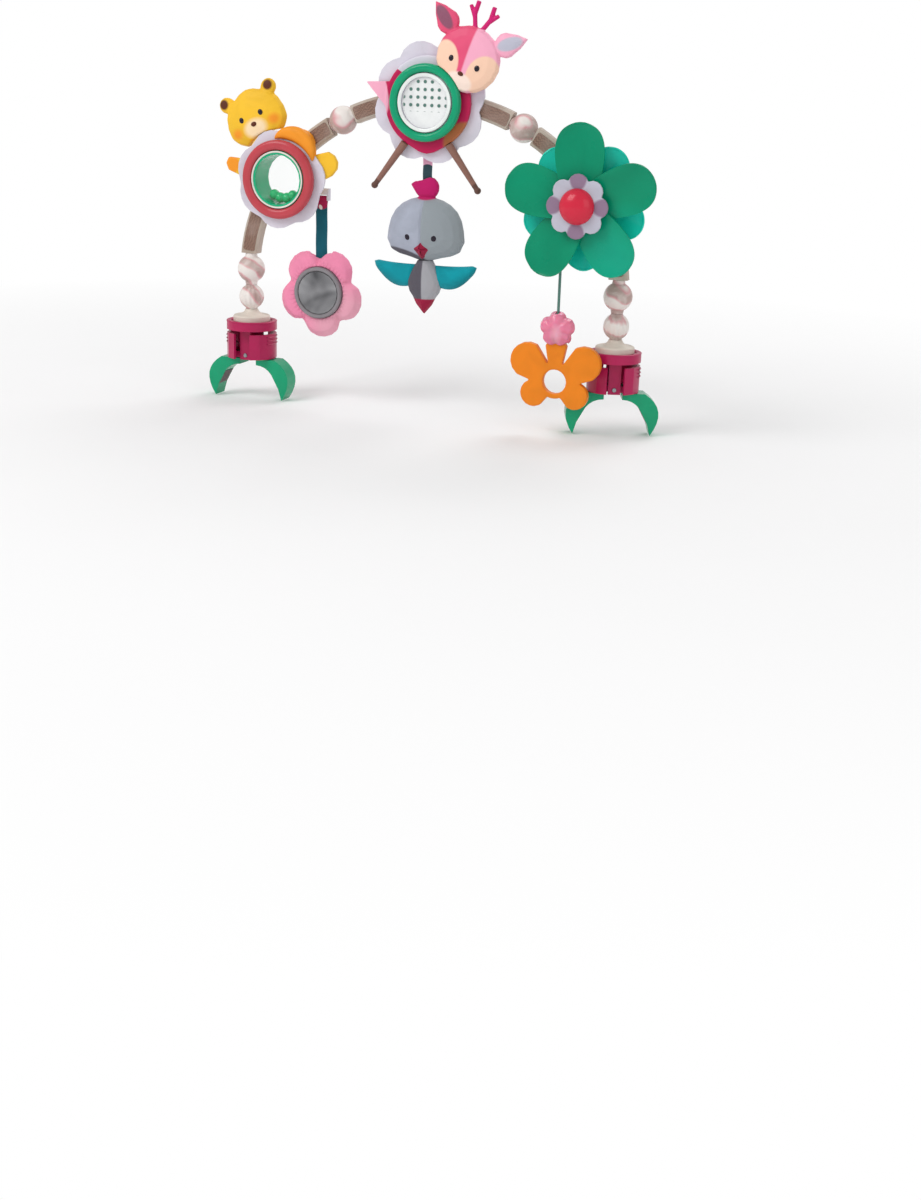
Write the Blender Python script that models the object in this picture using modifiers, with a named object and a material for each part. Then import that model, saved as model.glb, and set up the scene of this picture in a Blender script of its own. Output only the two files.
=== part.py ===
"""Stroller play arch: a bow of moulded bars and beads between two swivelling peg clips,
with a cub rattle ring, a fawn ring, a five-petal propeller and three hanging toys.

Units are metres. World +X runs from the left clip to the right one, +Z is up and the toys
face -Y. The origin lies midway between the grips of the two clips.
"""

import math

import bmesh
import bpy
from mathutils import Matrix, Vector

# Clearances
CLEAR = 0.0003
SPIN_CLEAR = 0.0006
OVERRUN = 0.003
MERGE = 0.0001
WELD = 0.00001

# Arch line: two side arcs and one flatter top arc
HALF_SPAN = 0.195
GRIP_DROP = 0.058
SPRING_HEIGHT = 0.052
SIDE_RADIUS = 0.1575
SIDE_ANGLE = math.radians(40)
BAR_WIDTH = 0.019
BAR_DEPTH = 0.013
BAR_ROUND = 0.0035
BAR_STEPS = 6
PEG_RADIUS = 0.004
PEG_DEPTH = 0.004
PEG_ROOT = 0.007

# Foot and leg beads
STEM_RADIUS = 0.0045
FLANGE_RADIUS = 0.019
FLANGE_HEIGHT = 0.0055
FLANGE_EDGE = 0.003
FLANGE_SHOULDER = 0.011
CONE_HEIGHT = 0.0125
CONE_TOP_RADIUS = 0.0065
LOWER_BEAD_RADIUS = 0.0128
LOWER_BEAD_HEIGHT = 0.0244
UPPER_BEAD_RADIUS = 0.014
UPPER_BEAD_HEIGHT = 0.032
BEAD_HUB_RADIUS = 0.0064
STEM_SOCKET = 0.009
NECK_RADIUS = 0.007
SNAP_RADIUS = 0.01
SNAP_HEIGHT = 0.0025

# Top beads
TOP_BEAD_RADIUS = 0.0137
TOP_BEAD_HEIGHT = 0.027
TOP_BEAD_ANGLE = math.radians(63.3)
TOP_BEAD_PEG = 0.008

# Clip body, pin and spring
CLIP_RADIUS = 0.0262
CLIP_PLATE = 0.008
EAR_WIDTH = 0.012
EAR_THICKNESS = 0.003
EAR_OFFSET = 0.013
EAR_FOOT = 0.0045
PIVOT_DROP = 0.034
PIN_RADIUS = 0.002
PIN_OVERHANG = 0.0006
ARM_ROOT_SHARE = 0.7
SPRING_RADIUS = 0.0032
SPRING_WIRE = 0.0006
SPRING_PITCH = 0.0018
SPRING_TURNS = 3.5
SPRING_POINTS = 8
SPRING_REACH = 0.0218
SPRING_RISE = 0.012
RIGHT_CLIP_TURN = math.radians(20)

# Clip jaws
PANEL_RADIUS = 0.026
PANEL_WALL = 0.0032
PANEL_RISE = 0.0228
PANEL_FALL = 0.0035
PANEL_HALF_ANGLE = math.radians(70)
PANEL_STEPS = 6
KNUCKLE_RADIUS = 0.0042
ARM_WIDTH = 0.0038
ARM_INSET = 0.0043
ARM_GAP = 0.0004
ARM_HEIGHT = 0.003
CLAW_WIDTH = 0.02
CLAW_TOP = 0.0042
CLAW_ROOT_X = 0.009
CLAW_ROOT_DROP = 0.0105
CLAW_SHOULDER_X = 0.031
CLAW_BULGE_X = 0.056
CLAW_BULGE_DROP = 0.019
CLAW_TIP_X = 0.038
CLAW_TIP_DROP = 0.0455
PAD_LOW_X = 0.0345
PAD_LOW_DROP = 0.0335
PAD_HIGH_X = 0.0265
PAD_HIGH_DROP = 0.019
CLAW_ARC_POINTS = 9
TONGUE_X = 0.0085
TONGUE_LENGTH = 0.011
TONGUE_RISE = 0.0015
TONGUE_WIDTH = 0.0078

# Ring units: barrel, collar and spin ring shared by the cub and the fawn
BARREL_RADIUS = 0.0335
BARREL_BACK = 0.0085
BARREL_FRONT = 0.0154
LAYER_BACK = 0.0068
LAYER_SPLIT = 0.0128
PLATE_THICKNESS = 0.0025
COLLAR_FRONT = 0.0235
COLLAR_WALL = 0.0032
SNAP_BEAD = 0.0008
SNAP_BEAD_HALF = 0.001
RING_TUBE = 0.0098
ROUND_STEPS = 20

# Cub unit
CUB_ANGLE = math.radians(39)
CUB_INSET = 0.008
CUB_BARREL_WALL = 0.0058
CUB_COLLAR_RADIUS = BARREL_RADIUS - CUB_BARREL_WALL
CUB_RING_BAND = 0.0108
CUB_RING_RADIUS = CUB_COLLAR_RADIUS + CUB_RING_BAND
CUB_PLATE_BRIM = 0.015
CUB_PLATE_RADIUS = BARREL_RADIUS + CUB_PLATE_BRIM
CUB_PLATE_NOTCH = 0.0055
CUB_PLATE_VALLEY = CUB_PLATE_RADIUS - CUB_PLATE_NOTCH
CUB_PLATE_LOBES = 7
CUB_PLATE_PHASE = math.radians(5.7)
CUB_BODY_BRIM = 0.009
CUB_BODY_RADIUS = BARREL_RADIUS + CUB_BODY_BRIM
CUB_HUMP_X = 0.0205
CUB_HUMP_Y = 0.0345
CUB_HUMP_RADIUS = 0.0148
CUB_ARM_X = 0.0475
CUB_ARM_Y = 0.0165
CUB_ARM_RADIUS = 0.0125
CUB_PAW_X = -0.0535
CUB_PAW_Y = 0.0125
CUB_PAW_RADIUS = 0.0085
CUB_NECK_ANGLE = math.radians(118)
CUB_NECK_SPREAD = math.radians(26)
CUB_HEAD_X = -0.0315
CUB_HEAD_Y = 0.058
CUB_HEAD_HALF_WIDTH = 0.0325
CUB_HEAD_HALF_HEIGHT = 0.029
CUB_HEAD_HALF_DEPTH = 0.0115
CUB_HEAD_TILT = math.radians(24)
CUB_HEAD_PLANE = 0.0048
CUB_EAR_RADIUS = 0.0085
CUB_EAR_DEPTH = 0.005
CUB_EAR_X = 0.025
CUB_EAR_Y = 0.0225
WINDOW_THICKNESS = 0.002
WINDOW_INSET = 0.002
RATTLE_BALL = 0.0052
RATTLE_STEP = math.radians(22)
RATTLE_BALLS = 4

# Fawn unit
DEER_INSET = 0.002
DEER_BARREL_WALL = 0.0063
DEER_COLLAR_RADIUS = BARREL_RADIUS - DEER_BARREL_WALL
DEER_RING_BAND = 0.009
DEER_RING_RADIUS = DEER_COLLAR_RADIUS + DEER_RING_BAND
DEER_PLATE_BRIM = 0.024
DEER_PLATE_RADIUS = BARREL_RADIUS + DEER_PLATE_BRIM
DEER_PLATE_NOTCH = 0.0075
DEER_PLATE_VALLEY = DEER_PLATE_RADIUS - DEER_PLATE_NOTCH
DEER_PLATE_LOBES = 8
DEER_PLATE_PHASE = math.radians(16)
DEER_BODY_BRIM = 0.01
DEER_BODY_RADIUS = BARREL_RADIUS + DEER_BODY_BRIM
DEER_BODY_POINT = 0.004
DEER_BODY_SPREAD = math.radians(16)
DEER_HEAD_X = 0.0415
DEER_HEAD_Y = 0.0405
DEER_HEAD_HALF_WIDTH = 0.0325
DEER_HEAD_HALF_HEIGHT = 0.0305
DEER_HEAD_HALF_DEPTH = 0.0095
DEER_HEAD_FRONT = 0.0185
DEER_HEAD_TILT = math.radians(-19)
DEER_EAR_LENGTH = 0.034
DEER_EAR_WIDTH = 0.0235
DEER_EAR_DEPTH = 0.0045
DEER_EAR_X = 0.0305
DEER_EAR_Y = 0.0248
DEER_EAR_TURN = math.radians(55)
DEER_EAR_SPREAD = math.radians(24)
HORN_RADIUS = 0.0025
HORN_BASE_X = 0.0032
HORN_BASE_Y = 0.028
HORN_SPREAD = 0.0082
HORN_HEIGHT = 0.0245
HORN_BRANCH = 0.0065
BRANCH_SHARE = 0.8
TAIL_REACH = 0.0205
TAIL_TIP_X = -DEER_BODY_RADIUS - TAIL_REACH
TAIL_TIP_Y = 0.0175
TAIL_TOP_INSET = 0.0075
TAIL_TOP_X = TAIL_TOP_INSET - DEER_BODY_RADIUS
TAIL_TOP_Y = 0.0185
TAIL_LOW_INSET = 0.001
TAIL_LOW_X = TAIL_LOW_INSET - DEER_BODY_RADIUS
TAIL_LOW_Y = -0.006
LEG_TOP_X = 0.0215
LEG_TOP_INSET = 0.007
LEG_TOP_Y = LEG_TOP_INSET - DEER_BODY_RADIUS
LEG_FOOT_X = 0.0535
LEG_FOOT_Y = -0.0795
LEG_RADIUS = 0.004
LEG_ANKLE_RADIUS = 0.0026
HOOF_RADIUS = 0.0036

# Propeller unit
PROP_ANGLE = math.radians(34.5)
PROP_BODY_RADIUS = 0.024
PROP_BODY_FRONT = 0.03
PROP_EDGE = 0.0025
AXLE_RADIUS = 0.004
AXLE_SOCKET = 0.012
AXLE_HEAD_RADIUS = 0.0062
AXLE_HEAD_HEIGHT = 0.0022
HUB_FOOT_RADIUS = 0.009
HUB_RADIUS = 0.0165
REAR_HUB_FRONT = 0.052
REAR_PETAL_PLANE = 0.046
REAR_PETAL_REACH = 0.059
REAR_PETAL_WIDTH = 0.04
FRONT_HUB_FRONT = 0.066
FRONT_PETAL_PLANE = 0.06
FRONT_PETAL_REACH = 0.073
FRONT_PETAL_WIDTH = 0.0495
PETAL_THICKNESS = 0.0026
PETAL_PITCH = math.radians(7)
PETAL_ROOT = 0.004
PETAL_FULLNESS = 2.5
PETAL_WAIST_SHARE = 0.22
PETAL_WAIST_SPREAD = math.radians(55)
PETALS = 5
FRONT_PETAL_PHASE = math.radians(92.5)
REAR_PETAL_PHASE = math.radians(56.5)
ROSETTE_RADIUS = 0.0295
ROSETTE_VALLEY = 0.0245
ROSETTE_LOBES = 8
ROSETTE_THICKNESS = 0.0025
DOME_RADIUS = 0.0165
DOME_HEIGHT = 0.0105

# Straps and their hanger rods
ROD_RADIUS = 0.0013
HANGER_EAR = 0.002
HANGER_EAR_HALF = 0.0028
HANGER_RISE = 0.009
LOOP_WALL = 0.0009
STRAP_THICKNESS = 0.0016
SLOT_FLARE = 0.007
SLOT_DIP_SHARE = 0.5

# Flower toy
FLOWER_ROD_OUT = 0.005
FLOWER_ROD_X = BARREL_RADIUS + FLOWER_ROD_OUT
FLOWER_ROD_Y = -0.0165
FLOWER_STRAP_WIDTH = 0.0125
FLOWER_STRAP_LENGTH = 0.0632
FLOWER_DROP = 0.031
MOUTH_RISE = 0.031
FLOWER_REACH = 0.046
FLOWER_VALLEY = 0.036
FLOWER_HALF_DEPTH = 0.0085
FLOWER_PHASE = math.radians(-87)
FLOWER_TONGUE = 0.005
MIRROR_RADIUS = 0.0215
BEZEL_RADIUS = 0.0258
BEZEL_BACK = 0.0035
BEZEL_FRONT = 0.0105
BEZEL_FLOOR = 0.0075
MIRROR_THICKNESS = 0.0016

# Bird toy
BIRD_ROD_X = -0.0035
BIRD_ROD_DROP = 0.006
BIRD_ROD_Y = -BARREL_RADIUS - BIRD_ROD_DROP
BIRD_STRAP_WIDTH = 0.0095
BIRD_STRAP_LENGTH = 0.0355
BIRD_TONGUE = 0.0042
CREST_REACH = 0.0138
CREST_SHARES = ((0, 0.97), (40, 0.98), (72, 0.9), (105, 0.68), (140, 0.84), (170, 1.3),
                (192, 1.0), (225, 0.9), (270, 0.82), (315, 0.92))
CREST_HALF_DEPTH = 0.0048
CREST_DROP = 0.0055
BIRD_HEAD_DROP = 0.0455
BIRD_HEAD_HALF_DEPTH = 0.0175
BIRD_HEAD_HALF_WIDTH = 0.0395
BIRD_HEAD_SHARES = ((90, 0.8), (60, 0.85), (30, 0.94), (0, 1.0), (-20, 1.07), (-32, 0.975), (-60, 0.8),
                    (-90, 0.785))
BIRD_BODY_DROP = 0.0955
BIRD_BODY_HALF_DEPTH = 0.011
BIRD_BODY_HALF_WIDTH = 0.0175
BIRD_BODY_SHARES = ((90, 1.54), (60, 1.11), (30, 0.94), (0, 1.0), (-35, 1.11), (-62, 1.23), (-78, 1.63),
                    (-90, 1.91))
WING_X = 0.0325
WING_Y = 0.005
WING_TILT = math.radians(14)
WING_HALF_DEPTH = 0.0035
WING_REACH = 0.0215
WING_SHARES = ((0, 1.0), (20, 0.63), (40, 0.46), (65, 0.37), (90, 0.36), (125, 0.42), (155, 0.62),
               (180, 0.82), (210, 0.8), (235, 0.68), (265, 0.61), (290, 0.6), (315, 0.63), (340, 0.76))

# Cord toy
CORD_X = -0.022
CORD_Y = -0.0165
CORD_PLANE = 0.0355
CORD_RADIUS = 0.0014
CORD_LENGTH = 0.088
CORD_POINTS = 16
EYE_WIDTH = 0.0036
EYE_WALL = 0.0012
LUG_CHEEK = 0.0016
LUG_HALF_WIDTH = 0.0032
LUG_RISE = 0.0105
KNOT_RADIUS = 0.0026
KNOT_LENGTH = 0.0062
MOUTH_DEPTH = 0.0055
CORD_BEAD_RADIUS = 0.0178
CORD_BEAD_VALLEY = 0.0155
CORD_BEAD_HALF_DEPTH = 0.0105
CORD_BEAD_DROP = 0.0135
TEETHER_DROP = 0.0638
TEETHER_THICKNESS = 0.008
TEETHER_EDGE = 0.0026
TEETHER_HOLE = 0.0118
UPPER_LOBE_RADIUS = 0.0175
UPPER_LOBE_X = 0.0277
UPPER_LOBE_Y = 0.0185
LOWER_LOBE_RADIUS = 0.0133
LOWER_LOBE_X = 0.0205
LOWER_LOBE_Y = -0.0125
NECK_LOBE_RADIUS = 0.0108
NECK_LOBE_Y = 0.0315
HOLE_WALL = 0.0165

# Colours
CREAM = (222, 212, 198)
TAUPE = (176, 162, 148)
BEAD_PINK = (226, 205, 200)
MAGENTA = (185, 35, 95)
CLAW_GREEN = (20, 165, 115)
STEEL = (150, 152, 156)
CORAL = (200, 75, 85)
CHAMBER_GREEN = (50, 170, 130)
LAVENDER = (222, 219, 231)
YELLOW = (245, 195, 60)
ORANGE = (245, 165, 50)
CLEAR_PLASTIC = (236, 244, 242)
RING_GREEN = (10, 160, 115)
BODY_MAGENTA = (190, 25, 80)
FAWN_PINK = (240, 120, 155)
LEG_BROWN = (145, 105, 90)
TEAL = (0, 110, 125)
PETAL_PINK = (238, 120, 155)
MIRROR_GREY = (150, 148, 150)
BIRD_GREY = (190, 192, 200)
STRAP_PINK = (250, 170, 205)
PROP_GREEN = (0, 145, 110)
PROP_LIGHT = (0, 172, 140)
ROSETTE_LILAC = (200, 192, 212)
DOME_RED = (225, 50, 80)
CORD_GREEN = (95, 135, 125)
BEAD_ROSE = (235, 110, 145)
TEETHER_ORANGE = (240, 135, 25)


# Scene and collections

def fresh_scene():
    """Empty the scene and return the collections for the parts and for their cutters."""
    for item in list(bpy.data.objects):
        bpy.data.objects.remove(item, do_unlink=True)
    parts = bpy.data.collections.new("stroller_play_arch")
    tools = bpy.data.collections.new("cutters")
    for collection in (parts, tools):
        bpy.context.scene.collection.children.link(collection)
    return parts, tools


PARTS, TOOLS = fresh_scene()


def linear(channel):
    """One 8-bit sRGB channel as the linear value that a shader takes."""
    value = channel / 255
    return value / 12.92 if value <= 0.04045 else ((value + 0.055) / 1.055) ** 2.4


def paint(item, colour, roughness=0.4, metallic=0.0, alpha=1.0):
    """Give an object a Principled material of its own."""
    material = bpy.data.materials.new(item.name)
    material.use_nodes = True
    shader = material.node_tree.nodes["Principled BSDF"]
    shader.inputs["Base Color"].default_value = (*[linear(c) for c in colour], 1.0)
    shader.inputs["Roughness"].default_value = roughness
    shader.inputs["Metallic"].default_value = metallic
    shader.inputs["Alpha"].default_value = alpha
    item.data.materials.clear()
    item.data.materials.append(material)
    return item


def frame(name, location=(0, 0, 0), rotation=(0, 0, 0), parent=None):
    """An empty that carries a unit or marks a joint's axis."""
    item = bpy.data.objects.new(name, None)
    item.location = location
    item.rotation_euler = rotation
    item.parent = parent
    PARTS.objects.link(item)
    return item


def hide(item):
    """Move an object to the cutters, where it shapes others and is no part itself."""
    for collection in list(item.users_collection):
        collection.objects.unlink(item)
    TOOLS.objects.link(item)
    item.hide_render = True
    item.display_type = "WIRE"
    return item


def solid(name, bm, parent, location=(0, 0, 0), rotation=(0, 0, 0), smooth=True):
    """An object made from a bmesh, placed under its parent."""
    mesh = bpy.data.meshes.new(name)
    bmesh.ops.recalc_face_normals(bm, faces=bm.faces)
    bm.to_mesh(mesh)
    bm.free()
    item = bpy.data.objects.new(name, mesh)
    PARTS.objects.link(item)
    item.parent = parent
    item.location = location
    item.rotation_euler = rotation
    if smooth:
        mesh.shade_smooth()
        mesh.set_sharp_from_angle(angle=math.radians(35))
    return item


def boolean(item, tool, operation):
    """Cut an object with a tool, or join the tool to it."""
    modifier = item.modifiers.new(tool.name, "BOOLEAN")
    modifier.object = hide(tool)
    modifier.operation = operation
    modifier.solver = "EXACT"


def cut(item, *tools):
    for tool in tools:
        boolean(item, tool, "DIFFERENCE")
    return item


def join(item, *tools):
    for tool in tools:
        boolean(item, tool, "UNION")
    return item


# Shapes

def box(low, high):
    """A box between two corners."""
    bm = bmesh.new()
    bmesh.ops.create_cube(bm, size=1)
    low, high = Vector(low), Vector(high)
    centre = (low + high) / 2
    size = high - low
    for vertex in bm.verts:
        vertex.co = centre + Vector(a * b for a, b in zip(vertex.co, size))
    return bm


def rod(radius, start, end, sides=16):
    """A cylinder between two points."""
    start, end = Vector(start), Vector(end)
    run = end - start
    turn = run.to_track_quat("Z", "Y").to_matrix().to_4x4()
    bm = bmesh.new()
    bmesh.ops.create_cone(bm, cap_ends=True, segments=sides, radius1=radius, radius2=radius,
                          depth=run.length, matrix=Matrix.Translation((start + end) / 2) @ turn)
    return bm


def turned(name, outline, parent, location=(0, 0, 0), rotation=(0, 0, 0), steps=ROUND_STEPS):
    """A turned solid: an outline of (radius, height) points screwed about Z.

    The outline runs down its outer side. One that starts and ends off the axis is closed
    into a ring.
    """
    mesh = bpy.data.meshes.new(name)
    edges = [(i, i + 1) for i in range(len(outline) - 1)]
    if outline[0][0] > 0:
        edges.append((len(outline) - 1, 0))
    mesh.from_pydata([(r, 0, z) for r, z in outline], edges, [])
    item = bpy.data.objects.new(name, mesh)
    PARTS.objects.link(item)
    item.parent = parent
    item.location = location
    item.rotation_euler = rotation
    screw = item.modifiers.new("turn", "SCREW")
    screw.axis = "Z"
    screw.steps = steps
    screw.render_steps = steps
    screw.use_merge_vertices = True
    screw.merge_threshold = MERGE
    screw.use_smooth_shade = True
    return item


def mesh_from_curve(name, curve_item):
    """Turn a curve into a welded mesh object in the same place and remove the curve."""
    bpy.context.view_layer.update()
    graph = bpy.context.evaluated_depsgraph_get()
    mesh = bpy.data.meshes.new_from_object(curve_item.evaluated_get(graph))
    mesh.name = name
    bm = bmesh.new()
    bm.from_mesh(mesh)
    bmesh.ops.remove_doubles(bm, verts=bm.verts, dist=WELD)
    bmesh.ops.recalc_face_normals(bm, faces=bm.faces)
    bm.to_mesh(mesh)
    bm.free()
    item = bpy.data.objects.new(name, mesh)
    PARTS.objects.link(item)
    item.parent = curve_item.parent
    item.location = curve_item.location
    item.rotation_euler = curve_item.rotation_euler
    bpy.data.objects.remove(curve_item, do_unlink=True)
    mesh.shade_smooth()
    mesh.set_sharp_from_angle(angle=math.radians(35))
    return item


def curve_object(name, splines, parent, location, rotation, cyclic):
    curve = bpy.data.curves.new(name, "CURVE")
    for points in splines:
        spline = curve.splines.new("POLY")
        spline.points.add(len(points) - 1)
        for slot, point in zip(spline.points, points):
            slot.co = (*point, *([0] * (3 - len(point))), 1)
        spline.use_cyclic_u = cyclic
    item = bpy.data.objects.new(name + "_curve", curve)
    PARTS.objects.link(item)
    item.parent = parent
    item.location = location
    item.rotation_euler = rotation
    return item, curve


def plate(name, outlines, back, front, parent, location=(0, 0, 0), rotation=(0, 0, 0), edge=0.0):
    """A flat outline, with any holes, as thick as from back to front along Z."""
    item, curve = curve_object(name, outlines, parent, location, rotation, True)
    curve.dimensions = "2D"
    curve.fill_mode = "BOTH"
    curve.extrude = (front - back) / 2
    item = mesh_from_curve(name, item)
    item.data.transform(Matrix.Translation((0, 0, (front + back) / 2)))
    if edge:
        bevel = item.modifiers.new("round", "BEVEL")
        bevel.width = edge
        bevel.segments = 1
        bevel.limit_method = "ANGLE"
        bevel.angle_limit = math.radians(50)
    return item


def tube(name, points, radius, parent, location=(0, 0, 0), rotation=(0, 0, 0), detail=2):
    """A wire or cord along a list of points, with filled ends."""
    item, curve = curve_object(name, [points], parent, location, rotation, False)
    curve.dimensions = "3D"
    curve.bevel_depth = radius
    curve.bevel_resolution = detail
    curve.use_fill_caps = True
    return mesh_from_curve(name, item)


def circle(centre, radius, count=ROUND_STEPS):
    """Points round a circle."""
    turn = 2 * math.pi / count
    return [(centre[0] + radius * math.cos(i * turn), centre[1] + radius * math.sin(i * turn))
            for i in range(count)]


def polar(reach, count):
    """Points of an outline whose radius is a function of the angle."""
    turn = 2 * math.pi / count
    return [(reach(i * turn) * math.cos(i * turn), reach(i * turn) * math.sin(i * turn))
            for i in range(count)]


def scallops(outer, valley, lobes, phase):
    """The radius of a flower with round petals, as a function of the angle."""
    petal_share = 0.75
    return lambda a: valley + (outer - valley) * abs(math.cos(lobes * (a - phase) / 2)) ** petal_share


def traced(shares, size):
    """A smooth closed outline through (degrees, share of a size) points, by the angle."""
    turn = 2 * math.pi
    marks = sorted((math.radians(angle) % turn, share * size) for angle, share in shares)
    before = [(angle - turn, value) for angle, value in marks[-2:]]
    after = [(angle + turn, value) for angle, value in marks[:2]]
    marks = before + marks + after

    def reach(angle):
        angle %= turn
        for first, low, high, last in zip(marks, marks[1:], marks[2:], marks[3:]):
            if low[0] <= angle <= high[0]:
                run = high[0] - low[0]
                share = (angle - low[0]) / run
                leave = run * (high[1] - first[1]) / (high[0] - first[0])
                arrive = run * (last[1] - low[1]) / (last[0] - low[0])
                rise = high[1] - low[1]
                return (low[1] + share * (leave + share * (3 * rise - 2 * leave - arrive
                                                           + share * (leave + arrive - 2 * rise))))
        return marks[2][1]

    return reach


def both_sides(shares):
    """Outline shares given for the right side, with their mirror image added."""
    return shares + tuple((180 - angle, share) for angle, share in shares if abs(angle) != 90)


def lobed(lobes, floor):
    """The reach of the farthest of some round lobes, each (x, y, radius), from the origin."""

    def reach(angle):
        best = floor
        for x, y, radius in lobes:
            along = x * math.cos(angle) + y * math.sin(angle)
            off = x * math.sin(angle) - y * math.cos(angle)
            if along > 0 and abs(off) < radius:
                best = max(best, along + math.sqrt(radius ** 2 - off ** 2))
        return best

    return reach


def bump(angle, centre, half_width):
    """A smooth rise to 1 at one angle."""
    gap = (angle - centre + math.pi) % (2 * math.pi) - math.pi
    return math.exp(-(gap / half_width) ** 2)


def bend(start, control, end, count):
    """Points along a curve from start to end, drawn towards a control point."""
    start, control, end = Vector(start), Vector(control), Vector(end)
    shares = [i / (count - 1) for i in range(count)]
    return [tuple(start * (1 - t) ** 2 + control * 2 * t * (1 - t) + end * t ** 2) for t in shares]


def puff(reach, half_depth, segments=20, rings=8, fullness=0.75):
    """A padded form: a sphere whose outline in XY follows a radius function.

    fullness below 1 swells the middle and draws the edge in.
    """
    bm = bmesh.new()
    bmesh.ops.create_uvsphere(bm, u_segments=segments, v_segments=rings, radius=1)
    for vertex in bm.verts:
        angle = math.atan2(vertex.co.y, vertex.co.x)
        across = min(1.0, math.hypot(vertex.co.x, vertex.co.y))
        out = across * reach(angle)
        height = math.copysign(abs(vertex.co.z) ** fullness, vertex.co.z)
        vertex.co = (out * math.cos(angle), out * math.sin(angle), height * half_depth)
    return bm


def oval(half_width, half_height):
    """The radius of an ellipse as a function of the angle."""
    return lambda a: half_width * half_height / math.hypot(half_height * math.cos(a),
                                                           half_width * math.sin(a))


def blunt_oval(half_width, half_height, fullness):
    """Like an ellipse at a fullness of 2, with squarer corners above it."""
    return lambda a: (abs(math.cos(a) / half_width) ** fullness
                      + abs(math.sin(a) / half_height) ** fullness) ** (-1 / fullness)


def arc_bar(half_width, half_depth, corner, centre, radius, start, end, steps, rounding=2):
    """A bar of rounded rectangular section swept along an arc in the XY plane."""
    bm = bmesh.new()
    ring = []
    for quarter, (sx, sz) in enumerate(((1, 1), (-1, 1), (-1, -1), (1, -1))):
        for i in range(rounding):
            angle = (quarter + (i + 0.5) / rounding) * math.pi / 2
            across = sx * (half_width - corner) + corner * math.cos(angle)
            depth = sz * (half_depth - corner) + corner * math.sin(angle)
            out = radius + across
            ring.append(bm.verts.new((centre[0] + out * math.cos(start),
                                      centre[1] + out * math.sin(start), depth)))
    edges = [bm.edges.new((ring[i - 1], ring[i])) for i in range(len(ring))]
    bmesh.ops.spin(bm, geom=ring + edges, cent=(*centre, 0), axis=(0, 0, 1), angle=end - start,
                   steps=steps, use_duplicate=False)
    open_edges = [edge for edge in bm.edges if edge.is_boundary]
    bmesh.ops.holes_fill(bm, edges=open_edges, sides=0)
    return bm


def bead_outline(radius, height, hub, bore):
    """A round bead with flat hubs and a bore, as a closed turned outline."""
    half = height / 2
    rim = math.asin(min(hub / radius, 1))
    turns = 5
    angles = [rim + (math.pi - 2 * rim) * i / (turns - 1) for i in range(turns)]
    squash = min(1.0, half / (radius * math.cos(rim)))
    ball = [(radius * math.sin(a), radius * math.cos(a) * squash) for a in angles]
    top = [(bore, half)]
    if squash == 1.0:
        top.append((hub, half))
    low = [(r, -z) for r, z in reversed(top)]
    return top + ball + low


# Arch line, seen from the front: X to the right, Y up, Z towards the viewer

FOOT_Y = GRIP_DROP
LOWER_BEAD_BASE = CONE_HEIGHT + CLEAR
UPPER_BEAD_BASE = LOWER_BEAD_BASE + LOWER_BEAD_HEIGHT + CLEAR
BAR_START = UPPER_BEAD_BASE + UPPER_BEAD_HEIGHT + CLEAR
SPRING_Y = FOOT_Y + SPRING_HEIGHT
START_RISE = BAR_START - SPRING_HEIGHT
SIDE_CENTRE_X = HALF_SPAN - math.sqrt(SIDE_RADIUS ** 2 - START_RISE ** 2)
START_ANGLE = math.asin(START_RISE / SIDE_RADIUS)
TOP_RADIUS = SIDE_RADIUS + SIDE_CENTRE_X / math.cos(SIDE_ANGLE)
TOP_Y = SPRING_Y - SIDE_CENTRE_X * math.tan(SIDE_ANGLE)
SIDE_CENTRE = (SIDE_CENTRE_X, SPRING_Y)
TOP_CENTRE = (0.0, TOP_Y)


def on_arc(centre, radius, angle):
    return (centre[0] + radius * math.cos(angle), centre[1] + radius * math.sin(angle))


CUB_CENTRE = on_arc(SIDE_CENTRE, SIDE_RADIUS - CUB_INSET, CUB_ANGLE)
PROP_CENTRE = on_arc(SIDE_CENTRE, SIDE_RADIUS, PROP_ANGLE)
DEER_CENTRE = (0.0, TOP_Y + TOP_RADIUS - DEER_INSET)
TOP_BEAD_CENTRE = on_arc(TOP_CENTRE, TOP_RADIUS, TOP_BEAD_ANGLE)

FACING = frame("facing", rotation=(math.pi / 2, 0, 0))


def crossing(unit, reach, centre, radius, side):
    """The angle at which an arc passes a unit's round body, before (-1) or after (+1) it."""
    offset = (unit[0] - centre[0], unit[1] - centre[1])
    distance = math.hypot(*offset)
    middle = math.atan2(offset[1], offset[0])
    share = (radius ** 2 + distance ** 2 - reach ** 2) / (2 * radius * distance)
    return middle + side * math.acos(share)


def mirrored(point, hand):
    return (hand * point[0], point[1])


def outward_rod(radius, centre, direction, near, far):
    """A cylinder along a direction from a centre, between two distances."""
    start = (centre[0] + direction[0] * near, centre[1] + direction[1] * near, 0)
    end = (centre[0] + direction[0] * far, centre[1] + direction[1] * far, 0)
    return rod(radius, start, end)


def heading(start, end):
    run = Vector((end[0] - start[0], end[1] - start[1]))
    run.normalize()
    return tuple(run)


def bar(name, hand, centre, radius, ends):
    """One moulded bar of the arch.

    Each end is a dictionary: its angle, the tool that trims it and the peg that joins it on.
    """
    first, last = (end["angle"] for end in ends)
    middle = mirrored(centre, hand)
    if hand < 0:
        first, last = math.pi - first, math.pi - last
    item = solid(name, arc_bar(BAR_WIDTH / 2, BAR_DEPTH / 2, BAR_ROUND, middle, radius,
                               first, last, BAR_STEPS), FACING)
    for number, end in enumerate(ends):
        if "trim" in end:
            cut(item, solid(f"{name}_trim_{number}", end["trim"], FACING))
        if "peg" in end:
            join(item, solid(f"{name}_peg_{number}", end["peg"], FACING))
    return paint(item, TAUPE, 0.55)


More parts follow.
